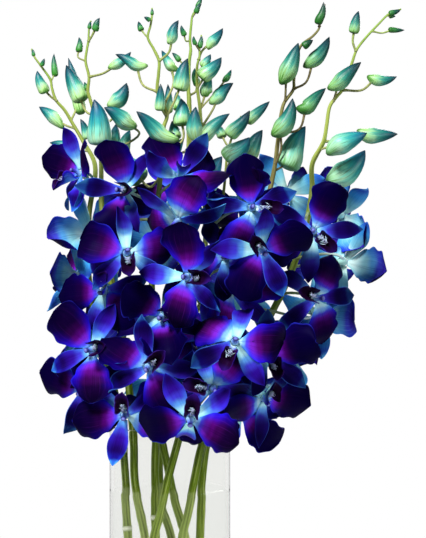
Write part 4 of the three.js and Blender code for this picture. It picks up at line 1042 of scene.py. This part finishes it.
def make_spray(name, stalks, number):
    draw = np.random.default_rng(SPRAY_SEED + number)
    points = stem_points(SPRAYS[name][0])
    stem, buds = Builder(), Builder()
    tone, richness = TONES[name], RICHNESS[name]
    add_stem(stem, name, points, tone, draw)
    for curve in stalks:
        path = bezier(curve, np.linspace(0, 1, 12))
        path = np.concatenate([path, [path[-1] + unit(path[-1] - path[-2]) * PEDICEL_SUNK]])
        radii = np.interp(np.linspace(0, 1, len(path)), *PEDICEL_RADII)
        stem.add_tube(path, radii, 9, "pedicel", (draw.uniform(), 0.3))
    for i, line in enumerate(SPRAYS[name][1].strip().splitlines()):
        width, root, elbow, tip, own = read_bud(line)
        root = nearest_on_stem(points, root)
        depth = root[1]
        away = own.get("depth", [DEPTH_AWAY if i % 2 else -DEPTH_AWAY])[0]
        width = width * pixel_at(depth)
        elbow, tip = spot(elbow, depth + away), spot(tip, depth + away * 1.5)
        spur = spot(own["spur"], depth + away) if "spur" in own else None
        base = elbow if spur is None else elbow + (spur - elbow) * 0.4
        sunk = base + (tip - base) * 0.12
        middle = (root + sunk) / 2 - UP * 0.06 * norm(sunk - root)
        if "via" in own:
            middle = spot(own["via"], depth + away * 0.7)
        path = smooth_path([root, middle, sunk], 7)[0]
        thick = BUD_STALK_RADIUS * (0.75 if width < THIN_STALK_WIDTH else 1)
        radii = np.interp(np.linspace(0, 1, len(path)), *BUD_STALK_SHARES) * thick
        stem.add_tube(path, radii, 9, "stalk", (draw.uniform(), max(tone, draw.uniform(0, 0.5))))
        add_bud(buds, elbow, tip, spur, width, richness * (1 if width < OLD_WIDTH else 0.4), draw)
    if name != "spray_f":
        low, high = points[-2] + (points[-1] - points[-2]) * 0.1, points[-1]
        add_bud(buds, low, high, None, min(END_BUD, 0.5 * norm(high - low)), richness, draw)
    for build, label in ((stem, "stem"), (buds, "buds")):
        piece = build.object(f"{name}_{label}")
        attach(piece, "root")
        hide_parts(name)


# Vase and water: smooth walls, an eased rim and foot
TURNS = 128


def turned_piece(name, profile, material, replaced):
    """A closed solid of turning from a profile of (radius, height) that starts and ends on the axis."""
    radii, heights = np.array(profile, float).T
    middles = heights[:, None] * UP
    ways, others = (np.tile(way, (len(radii) - 2, 1)) for way in np.eye(3)[:2])
    rings = rings_about(middles[1:-1], ways, others, circle(TURNS), radii[1:-1, None])
    build = Builder()
    build.add_rings(rings, np.linspace(0, 1, len(rings)), middles[[0, -1]], material)
    piece = build.object(name)
    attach(piece, "root")
    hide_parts(replaced)


def arc(middle, radius, start, stop, steps=6):
    angles = np.radians(np.linspace(start, stop, steps))
    return [(middle[0] + radius * math.cos(a), middle[1] + radius * math.sin(a)) for a in angles]


def wall(radius, low, high, steps):
    return [(radius, z) for z in np.linspace(low, high, steps)]


# The vase's eased edges: its foot, the hollow under it and the rounding inside; and the water's reach into the glass
FOOT = 2
HOLLOW = [(0, 0.6), (30, 0.6), (34, 0)]
ROUNDING = 5
BASE_MIDDLE = 20
WETTING = 0.06
MENISCUS = 0.4

inside = VASE_RADIUS - VASE_WALL
rim = VASE_WALL / 2
vase_profile = HOLLOW + arc((VASE_RADIUS - FOOT, FOOT), FOOT, -90, 0)
vase_profile += wall(VASE_RADIUS, 12, VASE_HEIGHT - 6, 12)
vase_profile += arc((VASE_RADIUS - rim, VASE_HEIGHT - rim), rim, 0, 180, 9)
vase_profile += wall(inside, VASE_HEIGHT - 6, VASE_BASE + 8, 12)
vase_profile += arc((inside - ROUNDING, VASE_BASE + ROUNDING), ROUNDING, 0, -90)
vase_profile += [(BASE_MIDDLE, VASE_BASE), (0, VASE_BASE)]
turned_piece("glass_vase", vase_profile, "glass", "vase")

wet = inside + WETTING
bed = VASE_BASE - 0.05
water_profile = [(0, bed), (BASE_MIDDLE, bed)] + arc((wet - ROUNDING, bed + ROUNDING), ROUNDING, -90, 0)
water_profile += wall(wet, VASE_BASE + 12, WATER_LEVEL - 4, 10)
water_profile += [(wet, WATER_LEVEL - MENISCUS), (wet - MENISCUS, WATER_LEVEL)]
water_profile += [(BASE_MIDDLE, WATER_LEVEL), (0, WATER_LEVEL)]
turned_piece("still_water", water_profile, "water", "water")

blooms = fit_blooms()
stalks = find_stalks(blooms, {name: stem_points(stem) for name, (stem, _) in SPRAYS.items()})
for number, name in enumerate(SPRAYS):
    make_spray(name, stalks[name], number)
for number, (name, pose) in enumerate(blooms.items()):
    make_bloom(name, number, pose, blooms)

# Stage: a pale floor, a white room, a large soft light from the upper left, weaker ones from the right and behind
FLOOR_RADIUS = 0.44
FLOOR_SIDES = 96
ROOM_LIGHT = 0.12
AIM = (0.03, 0, 0.34)

floor_mesh = bpy.data.meshes.new("floor")
ring = [(FLOOR_RADIUS * math.cos(a), FLOOR_RADIUS * math.sin(a), 0) for a in circle(FLOOR_SIDES)]
floor_mesh.from_pydata(ring, [], [list(range(FLOOR_SIDES))])
floor = add_object("floor", floor_mesh)
paint = Shader("floor", Roughness=0.7, Specular_IOR_Level=0.1, Base_Color=(0.9, 0.9, 0.9, 1))
floor_mesh.materials.append(paint.material)

world = bpy.data.worlds.new("room")
scene.world = world
room = Nodes(world)
sky = room.tree.nodes["Background"].inputs
ray = room.node("LightPath").outputs
seen = room.sums("MAXIMUM", ray["Is Camera Ray"], ray["Is Transmission Ray"])
room.put(sky["Color"], (1, 1, 1, 1))
room.put(sky["Strength"], room.range(seen, 0, 1, ROOM_LIGHT, 1, "LINEAR"))


def area_light(name, place, size, power):
    lamp = add_object(name, bpy.data.lights.new(name, "AREA"))
    lamp.data.shape = "DISK"
    lamp.data.size = size
    lamp.data.energy = power
    lamp.location = place
    lamp.rotation_euler = (Vector(AIM) - Vector(place)).to_track_quat("-Z", "Y").to_euler()


area_light("key", (-0.6, -1.1, 1.5), 0.5, 48)
area_light("fill", (1.3, -0.9, 0.7), 0.8, 9)
area_light("back", (0.5, 1.3, 0.9), 0.8, 12)
scene.view_settings.view_transform = "Standard"
